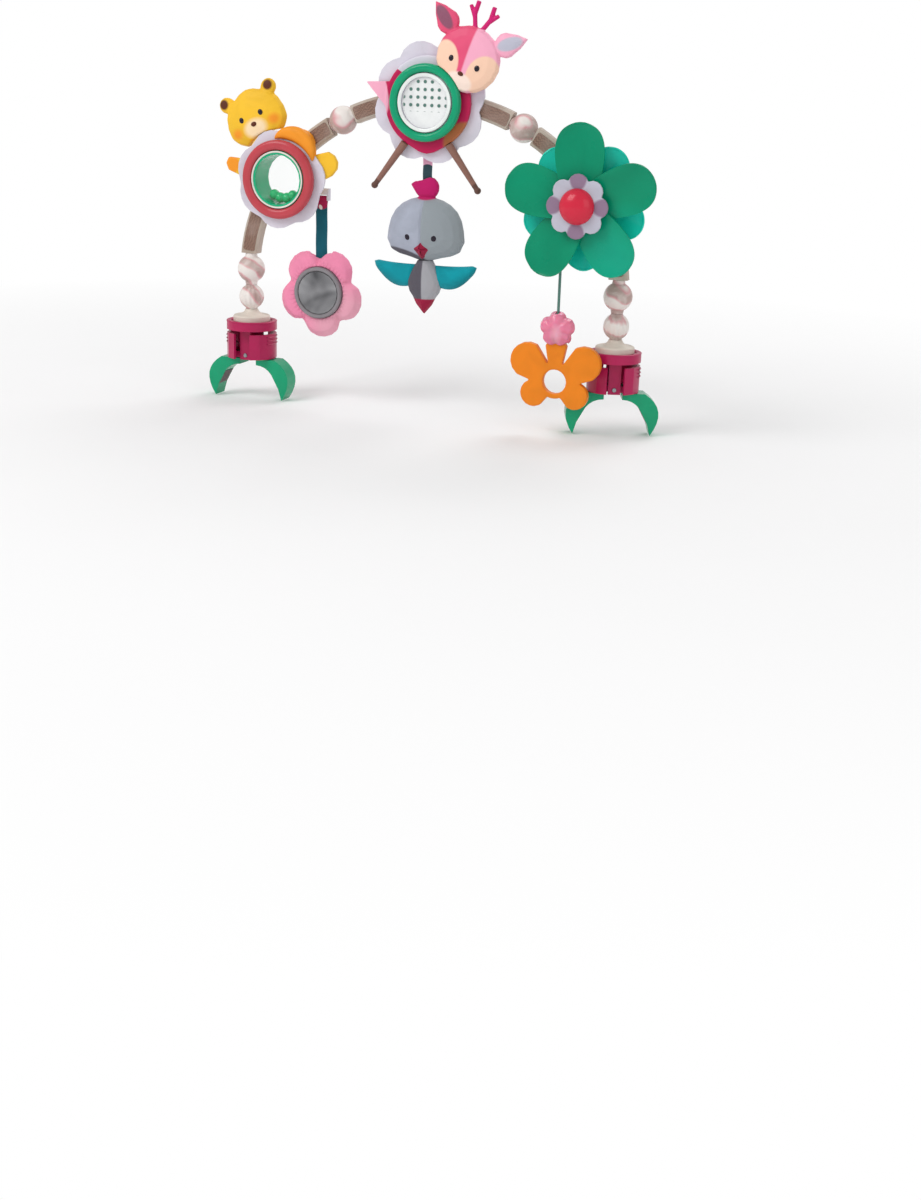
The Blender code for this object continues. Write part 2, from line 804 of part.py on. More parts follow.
def unit_end(unit, body, centre, radius, side, hand):
    """A bar's end at a unit's round body: trimmed to it, with a peg into its wall."""
    angle = crossing(unit, body, centre, radius, side)
    overrun = crossing(unit, body - OVERRUN, centre, radius, side)
    meeting = mirrored(on_arc(centre, radius, angle), hand)
    unit = mirrored(unit, hand)
    direction = heading(unit, meeting)
    reach = body + BAR_WIDTH
    trim = rod(body + CLEAR, (*unit, -reach), (*unit, reach), 48)
    peg = outward_rod(PEG_RADIUS, unit, direction, body - PEG_DEPTH, body + PEG_ROOT)
    return {"angle": overrun, "trim": trim, "peg": peg, "direction": direction}


def bead_end(side, hand):
    """A bar's end at a top bead: trimmed square, with a peg into the bead's bore."""
    half = TOP_BEAD_HEIGHT / 2
    bead = mirrored(TOP_BEAD_CENTRE, hand)
    along = (-math.sin(TOP_BEAD_ANGLE) * side * hand, math.cos(TOP_BEAD_ANGLE) * side)
    overrun = TOP_BEAD_ANGLE + side * math.asin((half - OVERRUN) / TOP_RADIUS)
    near = (bead[0] - along[0] * half, bead[1] - along[1] * half, 0)
    far = (bead[0] + along[0] * (half + CLEAR), bead[1] + along[1] * (half + CLEAR), 0)
    trim = rod(BAR_WIDTH, near, far, 24)
    peg = outward_rod(PEG_RADIUS, bead, along, half - TOP_BEAD_PEG, half + PEG_ROOT)
    return {"angle": overrun, "trim": trim, "peg": peg}


def build_arch():
    """Feet, beads and the six bars. Returns the peg directions at each unit."""
    pegs = {}
    for hand, side, unit, body in ((-1, "left", CUB_CENTRE, BARREL_RADIUS),
                                   (1, "right", PROP_CENTRE, PROP_BODY_RADIUS)):
        build_foot(side, hand)
        below = unit_end(unit, body, SIDE_CENTRE, SIDE_RADIUS, -1, hand)
        above = unit_end(unit, body, TOP_CENTRE, TOP_RADIUS, 1, hand)
        pegs[side] = (below["direction"], above["direction"])
        stem = (hand * HALF_SPAN, FOOT_Y + BAR_START)
        level = box((stem[0] - BAR_WIDTH, stem[1] - BAR_WIDTH, -BAR_WIDTH),
                    (stem[0] + BAR_WIDTH, stem[1], BAR_WIDTH))
        start = {"angle": START_ANGLE - OVERRUN / SIDE_RADIUS, "trim": level}
        lower = bar(f"{side}_lower_bar", hand, SIDE_CENTRE, SIDE_RADIUS, (start, below))
        socket = rod(STEM_RADIUS + CLEAR, (stem[0], stem[1] - OVERRUN, 0),
                     (stem[0], stem[1] + STEM_SOCKET + CLEAR, 0), 20)
        cut(lower, solid(f"{side}_lower_bar_socket", socket, FACING))
        bar(f"{side}_upper_bar", hand, TOP_CENTRE, TOP_RADIUS, (above, bead_end(-1, hand)))
        crown = unit_end(DEER_CENTRE, BARREL_RADIUS, TOP_CENTRE, TOP_RADIUS, -1, hand)
        bar(f"{side}_crown_bar", hand, TOP_CENTRE, TOP_RADIUS, (bead_end(1, hand), crown))
        pegs[f"{side}_crown"] = crown["direction"]
        build_top_bead(side, hand)
    return pegs


def build_top_bead(side, hand):
    place = (*mirrored(TOP_BEAD_CENTRE, hand), 0)
    lean = hand * TOP_BEAD_ANGLE + (math.pi if hand < 0 else 0)
    holder = frame(f"{side}_top_bead_axis", place, (0, 0, lean), FACING)
    outline = bead_outline(TOP_BEAD_RADIUS, TOP_BEAD_HEIGHT, BEAD_HUB_RADIUS, PEG_RADIUS + CLEAR)
    bead = turned(f"{side}_top_bead", outline, holder, rotation=(math.pi / 2, 0, 0), steps=16)
    paint(bead, BEAD_PINK, 0.45)


def build_foot(side, hand):
    """The foot's flange and stem, and the two beads that turn on the stem."""
    base = frame(f"{side}_foot_axis", (hand * HALF_SPAN, 0, FOOT_Y))
    top = BAR_START + STEM_SOCKET - CLEAR
    under = -(CLIP_PLATE + 2 * CLEAR)
    outline = [(0, top), (STEM_RADIUS, top), (STEM_RADIUS, CONE_HEIGHT),
               (CONE_TOP_RADIUS, CONE_HEIGHT), (FLANGE_SHOULDER, FLANGE_HEIGHT),
               (FLANGE_RADIUS, FLANGE_EDGE), (FLANGE_RADIUS, 0), (NECK_RADIUS, 0),
               (NECK_RADIUS, under), (SNAP_RADIUS, under), (NECK_RADIUS, under - SNAP_HEIGHT),
               (0, under - SNAP_HEIGHT)]
    paint(turned(f"{side}_foot", outline, base, steps=16), CREAM, 0.45)
    sizes = (("lower", LOWER_BEAD_BASE, LOWER_BEAD_RADIUS, LOWER_BEAD_HEIGHT),
             ("upper", UPPER_BEAD_BASE, UPPER_BEAD_RADIUS, UPPER_BEAD_HEIGHT))
    for name, low, radius, height in sizes:
        outline = bead_outline(radius, height, BEAD_HUB_RADIUS, STEM_RADIUS + CLEAR)
        bead = turned(f"{side}_{name}_bead", outline, base, (0, 0, low + height / 2), steps=16)
        paint(bead, BEAD_PINK, 0.45)


# Clips

EAR_FAR = EAR_OFFSET + EAR_THICKNESS
PIVOT_Z = -(CLEAR + PIVOT_DROP)


def build_clip(side, hand, turn):
    """A swivelling peg clip under one foot: body, pin, spring and two sprung jaws."""
    swivel = frame(f"{side}_clip_swivel", (hand * HALF_SPAN, 0, FOOT_Y), (0, 0, turn))
    body = turned(f"{side}_clip_body",
                  [(NECK_RADIUS + CLEAR, -CLEAR), (CLIP_RADIUS, -CLEAR),
                   (CLIP_RADIUS, -CLEAR - CLIP_PLATE), (NECK_RADIUS + CLEAR, -CLEAR - CLIP_PLATE)],
                  swivel)
    for front in (-1, 1):
        inner, outer = sorted((front * EAR_OFFSET, front * EAR_FAR))
        ear = box((-EAR_WIDTH / 2, inner, PIVOT_Z - EAR_FOOT),
                  (EAR_WIDTH / 2, outer, -CLEAR - CLIP_PLATE / 2))
        join(body, solid(f"{side}_clip_ear_{front}", ear, swivel, smooth=False))
    bore = rod(PIN_RADIUS + CLEAR, (0, -EAR_FAR - OVERRUN, PIVOT_Z), (0, EAR_FAR + OVERRUN, PIVOT_Z))
    cut(body, solid(f"{side}_clip_bore", bore, swivel))
    paint(body, MAGENTA, 0.4)

    pivot = frame(f"{side}_clip_pivot", (0, 0, PIVOT_Z), parent=swivel)
    end = EAR_FAR + PIN_OVERHANG
    pin = solid(f"{side}_clip_pin", rod(PIN_RADIUS, (0, -end, 0), (0, end, 0)), pivot)
    paint(pin, STEEL, 0.3, 1.0)
    build_spring(side, pivot)
    for name, way, wide in (("inner", -hand, False), ("outer", hand, True)):
        build_jaw(f"{side}_{name}", way, wide, pivot)


def build_spring(side, pivot):
    """A torsion spring round the pin, whose legs press the two lever panels outwards."""
    count = int(SPRING_TURNS * SPRING_POINTS)
    length = SPRING_PITCH * SPRING_TURNS
    points = []
    for i in range(count + 1):
        share = i / count
        angle = -2 * math.pi * SPRING_TURNS * share
        points.append((SPRING_RADIUS * math.cos(angle), length * (share - 0.5),
                       SPRING_RADIUS * math.sin(angle)))
    right = (SPRING_REACH, -length / 2, SPRING_RISE)
    left = (-SPRING_REACH, length / 2, SPRING_RISE)
    wire = tube(f"{side}_clip_spring", [right, *points, left], SPRING_WIRE, pivot, detail=1)
    paint(wire, STEEL, 0.3, 1.0)


def build_jaw(name, way, wide, pivot):
    """One jaw: a lever panel with two knuckles on the pin, and the claw fixed under it."""
    jaw = frame(f"{name}_jaw", rotation=(0, 0, 0 if way > 0 else math.pi), parent=pivot)
    inner = PANEL_RADIUS - PANEL_WALL
    middle = (inner + PANEL_RADIUS) / 2
    height = PANEL_RISE + PANEL_FALL
    shell = arc_bar(PANEL_WALL / 2, height / 2, PANEL_WALL / 4, (0, 0), middle,
                    -PANEL_HALF_ANGLE, PANEL_HALF_ANGLE, PANEL_STEPS, rounding=1)
    lever = solid(f"{name}_lever", shell, jaw)
    lever.data.transform(Matrix.Translation((0, 0, PANEL_RISE - height / 2)))
    first = ARM_INSET + (ARM_WIDTH + ARM_GAP if wide else 0)
    reach = inner + PANEL_WALL * ARM_ROOT_SHARE
    for front in (-1, 1):
        low, high = sorted((front * first, front * (first + ARM_WIDTH)))
        arm_end = math.sqrt(reach ** 2 - (first + ARM_WIDTH) ** 2)
        arm = plate(f"{name}_arm_{front}", [arm_outline(arm_end), circle((0, 0), PIN_RADIUS + CLEAR, 16)],
                    -high, -low, jaw, rotation=(math.pi / 2, 0, 0))
        join(lever, arm)
    paint(lever, MAGENTA, 0.4)

    claw = plate(f"{name}_claw", [claw_outline()], -CLAW_WIDTH / 2, CLAW_WIDTH / 2, jaw,
                 rotation=(math.pi / 2, 0, 0))
    tongue = box((TONGUE_X, -TONGUE_WIDTH / 2, -CLAW_ROOT_DROP + PANEL_WALL),
                 (TONGUE_X + TONGUE_LENGTH, TONGUE_WIDTH / 2, TONGUE_RISE))
    join(claw, solid(f"{name}_tongue", tongue, jaw, smooth=False))
    paint(claw, CLAW_GREEN, 0.35)


def arm_outline(end):
    """A lever's arm: round about the pin, straight to the panel."""
    count = 7
    start = math.asin(ARM_HEIGHT / KNUCKLE_RADIUS)
    sweep = 2 * math.pi - 2 * start
    round_end = [(KNUCKLE_RADIUS * math.cos(start + sweep * i / (count - 1)),
                  KNUCKLE_RADIUS * math.sin(start + sweep * i / (count - 1)))
                 for i in range(count)]
    return round_end + [(end, -ARM_HEIGHT), (end, ARM_HEIGHT)]


def claw_outline():
    """A leaf-shaped claw from the lever down to its tip, with a flat pad face inside."""
    outer = bend((CLAW_SHOULDER_X, -CLAW_TOP), (CLAW_BULGE_X, -CLAW_BULGE_DROP),
                 (CLAW_TIP_X, -CLAW_TIP_DROP), CLAW_ARC_POINTS)
    root = bend((PAD_HIGH_X, -PAD_HIGH_DROP), (PAD_HIGH_X - PANEL_WALL * 2, -CLAW_ROOT_DROP),
                (CLAW_ROOT_X, -CLAW_ROOT_DROP), 5)
    return [(CLAW_ROOT_X, -CLAW_TOP), *outer, (PAD_LOW_X, -PAD_LOW_DROP), *root]


# Ring units

def ring_outline(radius, collar):
    """A round spin ring with a groove in its bore that snaps over the collar's bead."""
    bore = collar + SPIN_CLEAR
    back = BARREL_FRONT + CLEAR
    middle = back + RING_TUBE / 2
    half = RING_TUBE / 2
    wide = (radius - bore) / 2
    axis = bore + wide
    groove = SNAP_BEAD_HALF + CLEAR
    outside = []
    for i in range(6):
        angle = math.pi * (0.5 - i / 5)
        outside.append((axis + wide * math.cos(angle), middle + half * math.sin(angle)))
    inside = [(bore, middle - half / 2), (bore, middle - groove), (bore + SNAP_BEAD, middle - groove),
              (bore + SNAP_BEAD, middle + groove), (bore, middle + groove), (bore, middle + half / 2)]
    return outside + inside


def collar_outline(collar, back, wall):
    """The collar that a spin ring turns on, with its snap bead."""
    middle = BARREL_FRONT + CLEAR + RING_TUBE / 2
    bead = collar + SNAP_BEAD
    return [(collar - wall, COLLAR_FRONT), (collar, COLLAR_FRONT),
            (collar, middle + SNAP_BEAD_HALF), (bead, middle + SNAP_BEAD_HALF / 2),
            (bead, middle - SNAP_BEAD_HALF / 2), (collar, middle - SNAP_BEAD_HALF),
            (collar, back), (collar - wall, back)]


def barrel(name, bore):
    """The round body of a ring unit, open through the middle."""
    return [(bore, BARREL_FRONT), (BARREL_RADIUS, BARREL_FRONT),
            (BARREL_RADIUS, -BARREL_BACK), (bore, -BARREL_BACK)]


def peg_holes(item, name, directions, body, unit):
    """Sockets in a unit's wall for the pegs of its bars."""
    for number, direction in enumerate(directions):
        hole = outward_rod(PEG_RADIUS + CLEAR, (0, 0), direction,
                           body - PEG_DEPTH - CLEAR, body + OVERRUN)
        cut(item, solid(f"{name}_hole_{number}", hole, unit))


def hanger(item, name, x, y, width, unit):
    """A fork under a unit with a rod between its ears, which a strap's loop goes round."""
    half = width / 2 + CLEAR
    outer = half + HANGER_EAR
    block = box((x - outer, y - HANGER_EAR_HALF, -HANGER_EAR_HALF),
                (x + outer, y + HANGER_RISE, HANGER_EAR_HALF))
    join(item, solid(f"{name}_fork", block, unit, smooth=False))
    loop = ROD_RADIUS + CLEAR + LOOP_WALL + CLEAR
    slot = box((x - half, y - OVERRUN - HANGER_EAR_HALF, -OVERRUN - HANGER_EAR_HALF),
               (x + half, y + loop, OVERRUN + HANGER_EAR_HALF))
    cut(item, solid(f"{name}_slot", slot, unit, smooth=False))
    pin = rod(ROD_RADIUS, (x - half - HANGER_EAR / 2, y, 0), (x + half + HANGER_EAR / 2, y, 0), 12)
    join(item, solid(f"{name}_rod", pin, unit))


def build_cub(directions):
    """The cub unit: flower plate and barrel, rattle chamber, spin ring, head and body."""
    centre = (*mirrored(CUB_CENTRE, -1), 0)
    unit = frame("cub_unit", centre, parent=FACING)
    bore = CUB_COLLAR_RADIUS + CLEAR
    housing = turned("cub_housing", barrel("cub", bore), unit)
    petals = scallops(CUB_PLATE_RADIUS, CUB_PLATE_VALLEY, CUB_PLATE_LOBES, CUB_PLATE_PHASE)
    inner = (BARREL_RADIUS + bore) / 2
    join(housing, plate("cub_plate", [polar(petals, 42), circle((0, 0), inner, ROUND_STEPS)],
                        BARREL_FRONT - PLATE_THICKNESS, BARREL_FRONT - CLEAR, unit))
    hanger(housing, "flower_hanger", FLOWER_ROD_X, FLOWER_ROD_Y, FLOWER_STRAP_WIDTH, unit)
    peg_holes(housing, "cub_housing", directions, BARREL_RADIUS, unit)
    paint(housing, LAVENDER, 0.35)

    chamber = turned("cub_chamber", collar_outline(CUB_COLLAR_RADIUS, -BARREL_BACK, COLLAR_WALL), unit)
    paint(chamber, CHAMBER_GREEN, 0.25)
    glass = CUB_COLLAR_RADIUS - COLLAR_WALL - CLEAR
    for name, back in (("front", COLLAR_FRONT - WINDOW_INSET - WINDOW_THICKNESS),
                       ("back", -BARREL_BACK + WINDOW_INSET)):
        pane = rod(glass, (0, 0, back), (0, 0, back + WINDOW_THICKNESS), ROUND_STEPS)
        paint(solid(f"cub_{name}_window", pane, unit), CLEAR_PLASTIC, 0.05, 0.0, 0.3)
    build_rattle(unit)
    ring = turned("cub_spin_ring", ring_outline(CUB_RING_RADIUS, CUB_COLLAR_RADIUS), unit)
    paint(ring, CORAL, 0.3)
    build_cub_figure(unit)


def build_rattle(unit):
    """A string of moulded balls that rolls round inside the chamber."""
    middle = (COLLAR_FRONT - BARREL_BACK) / 2
    orbit = CUB_COLLAR_RADIUS - COLLAR_WALL - RATTLE_BALL - 2 * CLEAR
    first = None
    for i in range(RATTLE_BALLS):
        angle = -math.pi / 2 + RATTLE_STEP * (i - (RATTLE_BALLS - 1) / 2)
        bm = bmesh.new()
        place = Matrix.Translation((orbit * math.cos(angle), orbit * math.sin(angle), middle))
        bmesh.ops.create_uvsphere(bm, u_segments=10, v_segments=6, radius=RATTLE_BALL, matrix=place)
        ball = solid(f"cub_rattle_{i}" if i else "cub_rattle", bm, unit)
        if i:
            join(first, ball)
        else:
            first = ball
    paint(first, RING_GREEN, 0.3)


def cub_body_reach(angle):
    """The cub's body behind the flower plate, with a neck, a hump, an arm and a paw."""
    limbs = ((CUB_HUMP_X, CUB_HUMP_Y, CUB_HUMP_RADIUS), (CUB_ARM_X, CUB_ARM_Y, CUB_ARM_RADIUS),
             (CUB_PAW_X, CUB_PAW_Y, CUB_PAW_RADIUS))
    neck = CUB_PLATE_RADIUS - CUB_BODY_RADIUS
    trunk = CUB_BODY_RADIUS + neck * bump(angle, CUB_NECK_ANGLE, CUB_NECK_SPREAD)
    return lobed(limbs, trunk)(angle)


def build_cub_figure(unit):
    hole = BARREL_RADIUS + CLEAR
    body = plate("cub_body", [polar(cub_body_reach, 60), circle((0, 0), hole, ROUND_STEPS)],
                 LAYER_BACK, LAYER_SPLIT - CLEAR, unit)
    paint(body, ORANGE, 0.5)
    holder = frame("cub_head_frame", (CUB_HEAD_X, CUB_HEAD_Y, CUB_HEAD_PLANE), (0, 0, CUB_HEAD_TILT), unit)
    shape = oval(CUB_HEAD_HALF_WIDTH, CUB_HEAD_HALF_HEIGHT)
    head = solid("cub_head", puff(shape, CUB_HEAD_HALF_DEPTH), holder)
    for way in (-1, 1):
        ear = solid(f"cub_ear_{way}", puff(oval(CUB_EAR_RADIUS, CUB_EAR_RADIUS), CUB_EAR_DEPTH, 12, 6),
                    holder, (way * CUB_EAR_X, CUB_EAR_Y, 0))
        join(head, ear)
    deep = CUB_HEAD_HALF_DEPTH * 3
    bite = rod(CUB_PLATE_RADIUS + CLEAR, (0, 0, -deep), (0, 0, deep), 64)
    cut(head, solid("cub_neck_cut", bite, unit))
    paint(head, YELLOW, 0.5)


# Fawn unit

def deer_body_reach(angle):
    """The fawn's round body, drawn to a point at the bottom."""
    return DEER_BODY_RADIUS + DEER_BODY_POINT * bump(angle, -math.pi / 2, DEER_BODY_SPREAD)


def build_deer(directions):
    """The fawn unit: cloud plate and barrel, dotted window, spin ring, body, head and legs."""
    unit = frame("deer_unit", (*DEER_CENTRE, 0), parent=FACING)
    wall = COLLAR_WALL
    outline = collar_outline(DEER_COLLAR_RADIUS, -BARREL_BACK, wall)
    outline[-2:] = [(DEER_COLLAR_RADIUS, BARREL_FRONT), (BARREL_RADIUS, BARREL_FRONT),
                    (BARREL_RADIUS, -BARREL_BACK), (DEER_COLLAR_RADIUS - wall, -BARREL_BACK)]
    housing = turned("deer_housing", outline, unit)
    petals = scallops(DEER_PLATE_RADIUS, DEER_PLATE_VALLEY, DEER_PLATE_LOBES, DEER_PLATE_PHASE)
    inner = (BARREL_RADIUS + DEER_COLLAR_RADIUS) / 2
    join(housing, plate("deer_plate", [polar(petals, 48), circle((0, 0), inner, ROUND_STEPS)],
                        LAYER_BACK, LAYER_BACK + PLATE_THICKNESS, unit))
    hanger(housing, "bird_hanger", BIRD_ROD_X, BIRD_ROD_Y, BIRD_STRAP_WIDTH, unit)
    peg_holes(housing, "deer_housing", directions, BARREL_RADIUS, unit)
    paint(housing, LAVENDER, 0.35)

    glass = DEER_COLLAR_RADIUS - wall - CLEAR
    back = COLLAR_FRONT - WINDOW_INSET - WINDOW_THICKNESS
    pane = rod(glass, (0, 0, back), (0, 0, back + WINDOW_THICKNESS), ROUND_STEPS)
    paint(solid("deer_window", pane, unit), CLEAR_PLASTIC, 0.15)
    ring = turned("deer_spin_ring", ring_outline(DEER_RING_RADIUS, DEER_COLLAR_RADIUS), unit)
    paint(ring, RING_GREEN, 0.3)
    build_deer_body(unit)
    build_deer_head(unit)
    build_deer_legs(unit)


def build_deer_body(unit):
    back = LAYER_BACK + PLATE_THICKNESS + CLEAR
    front = BARREL_FRONT - CLEAR
    body = plate("deer_body", [polar(deer_body_reach, 40),
                               circle((0, 0), BARREL_RADIUS + CLEAR, ROUND_STEPS)],
                 back, front, unit)
    inset = (front - back) / 5
    tail = plate("deer_tail", [[(TAIL_TIP_X, TAIL_TIP_Y), (TAIL_LOW_X, TAIL_LOW_Y),
                                (TAIL_TOP_X, TAIL_TOP_Y)]], back + inset, front - inset, unit)
    join(body, tail)
    paint(body, BODY_MAGENTA, 0.35)


def ear_reach(angle):
    """A leaf-shaped ear, pointed at its tip along +Y."""
    root = DEER_EAR_LENGTH / 3
    return oval(DEER_EAR_WIDTH / 2, root)(angle) + root * bump(angle, math.pi / 2, DEER_EAR_SPREAD)


def build_deer_head(unit):
    holder = frame("deer_head_frame", (DEER_HEAD_X, DEER_HEAD_Y, DEER_HEAD_FRONT),
                   (0, 0, DEER_HEAD_TILT), unit)
    head = solid("deer_head", puff(oval(DEER_HEAD_HALF_WIDTH, DEER_HEAD_HALF_HEIGHT),
                                   DEER_HEAD_HALF_DEPTH), holder)
    for way in (-1, 1):
        ear = solid(f"deer_ear_{way}", puff(ear_reach, DEER_EAR_DEPTH, 14, 6), holder,
                    (way * DEER_EAR_X, DEER_EAR_Y, 0), (0, 0, -way * DEER_EAR_TURN))
        join(head, ear)
        base = (HORN_BASE_X * way, HORN_BASE_Y, 0)
        fork = (HORN_SPREAD * way, HORN_BASE_Y + HORN_HEIGHT / 2, 0)
        tip = (HORN_SPREAD * way, HORN_BASE_Y + HORN_HEIGHT, 0)
        horn = tube(f"deer_horn_{way}", [base, fork, tip], HORN_RADIUS, holder, detail=1)
        side = (fork[0] + way * HORN_BRANCH, fork[1] + HORN_BRANCH, 0)
        root = (fork[0] - way * HORN_RADIUS / 4, fork[1] - HORN_RADIUS, 0)
        branch = solid(f"deer_branch_{way}", rod(HORN_RADIUS * BRANCH_SHARE, root, side, 10), holder)
        join(head, horn, branch)
    low = DEER_HEAD_FRONT - 2 * DEER_HEAD_HALF_DEPTH
    high = DEER_HEAD_FRONT + 2 * DEER_HEAD_HALF_DEPTH
    body = rod(DEER_BODY_RADIUS + CLEAR, (0, 0, low), (0, 0, BARREL_FRONT), 56)
    ring = rod(DEER_RING_RADIUS + CLEAR, (0, 0, LAYER_BACK), (0, 0, high), 52)
    back = LAYER_BACK + PLATE_THICKNESS + CLEAR
    sheet = box((-HALF_SPAN, -HALF_SPAN, -HALF_SPAN), (HALF_SPAN, HALF_SPAN, back))
    cut(head, solid("deer_head_body_cut", body, unit), solid("deer_head_ring_cut", ring, unit),
        solid("deer_head_back_cut", sheet, unit))
    paint(head, FAWN_PINK, 0.45)


def build_deer_legs(unit):
    """Two tapering legs with small hooves, hung under the body."""
    back = LAYER_BACK + PLATE_THICKNESS + CLEAR
    middle = back + LEG_RADIUS
    for way, side in ((-1, "left"), (1, "right")):
        top = Vector((way * LEG_TOP_X, LEG_TOP_Y, middle))
        foot = Vector((way * LEG_FOOT_X, LEG_FOOT_Y, middle))
        run = foot - top
        turn = run.to_track_quat("Z", "Y").to_matrix().to_4x4()
        bm = bmesh.new()
        bmesh.ops.create_cone(bm, cap_ends=True, segments=12, radius1=LEG_RADIUS, radius2=LEG_ANKLE_RADIUS,
                              depth=run.length, matrix=Matrix.Translation((top + foot) / 2) @ turn)
        leg = solid(f"deer_{side}_leg", bm, unit)
        bm = bmesh.new()
        bmesh.ops.create_uvsphere(bm, u_segments=10, v_segments=6, radius=HOOF_RADIUS,
                                  matrix=Matrix.Translation(foot))
        join(leg, solid(f"deer_{side}_hoof", bm, unit))
        trim = rod(DEER_BODY_RADIUS + 2 * CLEAR, (0, 0, -BARREL_RADIUS),
                   (0, 0, BARREL_RADIUS), 56)
        cut(leg, solid(f"deer_{side}_leg_cut", trim, unit))
        paint(leg, LEG_BROWN, 0.5)


# Propeller unit

def build_propeller(directions):
    """The propeller unit: body, axle, two petal layers, rosette and dome."""
    unit = frame("prop_unit", (*PROP_CENTRE, 0), parent=FACING)
    outline = [(0, PROP_BODY_FRONT), (PROP_BODY_RADIUS - PROP_EDGE, PROP_BODY_FRONT),
               (PROP_BODY_RADIUS, PROP_BODY_FRONT - PROP_EDGE), (PROP_BODY_RADIUS, PROP_EDGE - BARREL_BACK),
               (PROP_BODY_RADIUS - PROP_EDGE, -BARREL_BACK), (0, -BARREL_BACK)]
    body = turned("prop_body", outline, unit)
    build_cord_lug(body, unit)
    peg_holes(body, "prop_body", directions, PROP_BODY_RADIUS, unit)
    foot = PROP_BODY_FRONT - AXLE_SOCKET
    socket = rod(AXLE_RADIUS + CLEAR, (0, 0, foot - CLEAR), (0, 0, PROP_BODY_FRONT + OVERRUN), 16)
    cut(body, solid("prop_axle_socket", socket, unit))
    paint(body, CREAM, 0.45)

    head_top = FRONT_HUB_FRONT - 2 * CLEAR
    head_low = head_top - AXLE_HEAD_HEIGHT
    axle = turned("prop_axle", [(0, head_top), (AXLE_HEAD_RADIUS, head_top), (AXLE_HEAD_RADIUS, head_low),
                                (AXLE_RADIUS, head_low), (AXLE_RADIUS, foot), (0, foot)], unit, steps=20)
    paint(axle, STEEL, 0.35, 1.0)
    bore = AXLE_RADIUS + CLEAR
    rear = turned("prop_rear_petals", [(bore, REAR_HUB_FRONT), (HUB_RADIUS, REAR_HUB_FRONT),
                                       (HUB_RADIUS, REAR_PETAL_PLANE - PETAL_THICKNESS),
                                       (HUB_FOOT_RADIUS, PROP_BODY_FRONT + CLEAR),
                                       (bore, PROP_BODY_FRONT + CLEAR)], unit, steps=16)
    add_petals(rear, "rear", REAR_PETAL_REACH, REAR_PETAL_WIDTH, REAR_PETAL_PLANE, REAR_PETAL_PHASE, unit)
    paint(rear, PROP_LIGHT, 0.3)
    recess = AXLE_HEAD_RADIUS + CLEAR
    floor = head_low - CLEAR
    front = turned("prop_front_petals", [(recess, FRONT_HUB_FRONT), (HUB_RADIUS, FRONT_HUB_FRONT),
                                         (HUB_RADIUS, REAR_HUB_FRONT + CLEAR),
                                         (bore, REAR_HUB_FRONT + CLEAR), (bore, floor), (recess, floor)],
                   unit, steps=16)
    add_petals(front, "front", FRONT_PETAL_REACH, FRONT_PETAL_WIDTH, FRONT_PETAL_PLANE,
               FRONT_PETAL_PHASE, unit)
    paint(front, PROP_GREEN, 0.3)

    lobes = scallops(ROSETTE_RADIUS, ROSETTE_VALLEY, ROSETTE_LOBES, 0.0)
    low = FRONT_HUB_FRONT + CLEAR
    rosette = plate("prop_rosette", [polar(lobes, 48)], low, low + ROSETTE_THICKNESS, unit)
    paint(rosette, ROSETTE_LILAC, 0.4)
    base = low + ROSETTE_THICKNESS + CLEAR
    arc = [(DOME_RADIUS * math.sin(math.pi / 2 * i / 5), base + DOME_HEIGHT * math.cos(math.pi / 2 * i / 5))
           for i in range(6)]
    paint(turned("prop_dome", [*arc, (0, base)], unit, steps=18), DOME_RED, 0.3)


def petal_reach(reach, width):
    """A broad round petal along +X, measured from its own centre."""
    length = reach - PETAL_ROOT
    full = blunt_oval(length / 2, width / 2, PETAL_FULLNESS)
    return lambda a: full(a) * (1 - PETAL_WAIST_SHARE * bump(a, math.pi * 3 / 4, PETAL_WAIST_SPREAD)
                                - PETAL_WAIST_SHARE * bump(a, math.pi * 5 / 4, PETAL_WAIST_SPREAD))


def add_petals(hub, name, reach, width, plane, phase, unit):
    length = reach - PETAL_ROOT
    for i in range(PETALS):
        angle = phase + 2 * math.pi * i / PETALS
        holder = frame(f"prop_{name}_petal_axis_{i}", (0, 0, plane), (0, 0, angle), unit)
        petal = solid(f"prop_{name}_petal_{i}",
                      puff(petal_reach(reach, width), PETAL_THICKNESS / 2, 18, 4, 0.4), holder,
                      (PETAL_ROOT + length / 2, 0, 0), (PETAL_PITCH, 0, 0))
        join(hub, petal)


def build_cord_lug(body, unit):
    """A fork at the body's side with a pin that the cord's eye hangs on."""
    half = EYE_WIDTH / 2 + CLEAR
    back = CORD_PLANE - half - LUG_CHEEK
    front = CORD_PLANE + half + LUG_CHEEK
    low = CORD_Y - LUG_HALF_WIDTH
    block = box((CORD_X - LUG_HALF_WIDTH, low, back - LUG_RISE),
                (CORD_X + LUG_HALF_WIDTH, CORD_Y + LUG_RISE, front))
    join(body, solid("cord_lug", block, unit, smooth=False))
    eye = ROD_RADIUS + CLEAR + EYE_WALL + CLEAR
    slot = box((CORD_X - LUG_HALF_WIDTH - OVERRUN, low - OVERRUN, CORD_PLANE - half),
               (CORD_X + LUG_HALF_WIDTH + OVERRUN, CORD_Y + eye, CORD_PLANE + half))
    cut(body, solid("cord_lug_slot", slot, unit, smooth=False))
    pin = rod(ROD_RADIUS, (CORD_X, CORD_Y, back + LUG_CHEEK / 2),
              (CORD_X, CORD_Y, front - LUG_CHEEK / 2), 12)
    join(body, solid("cord_lug_pin", pin, unit))


# Straps and hanging toys

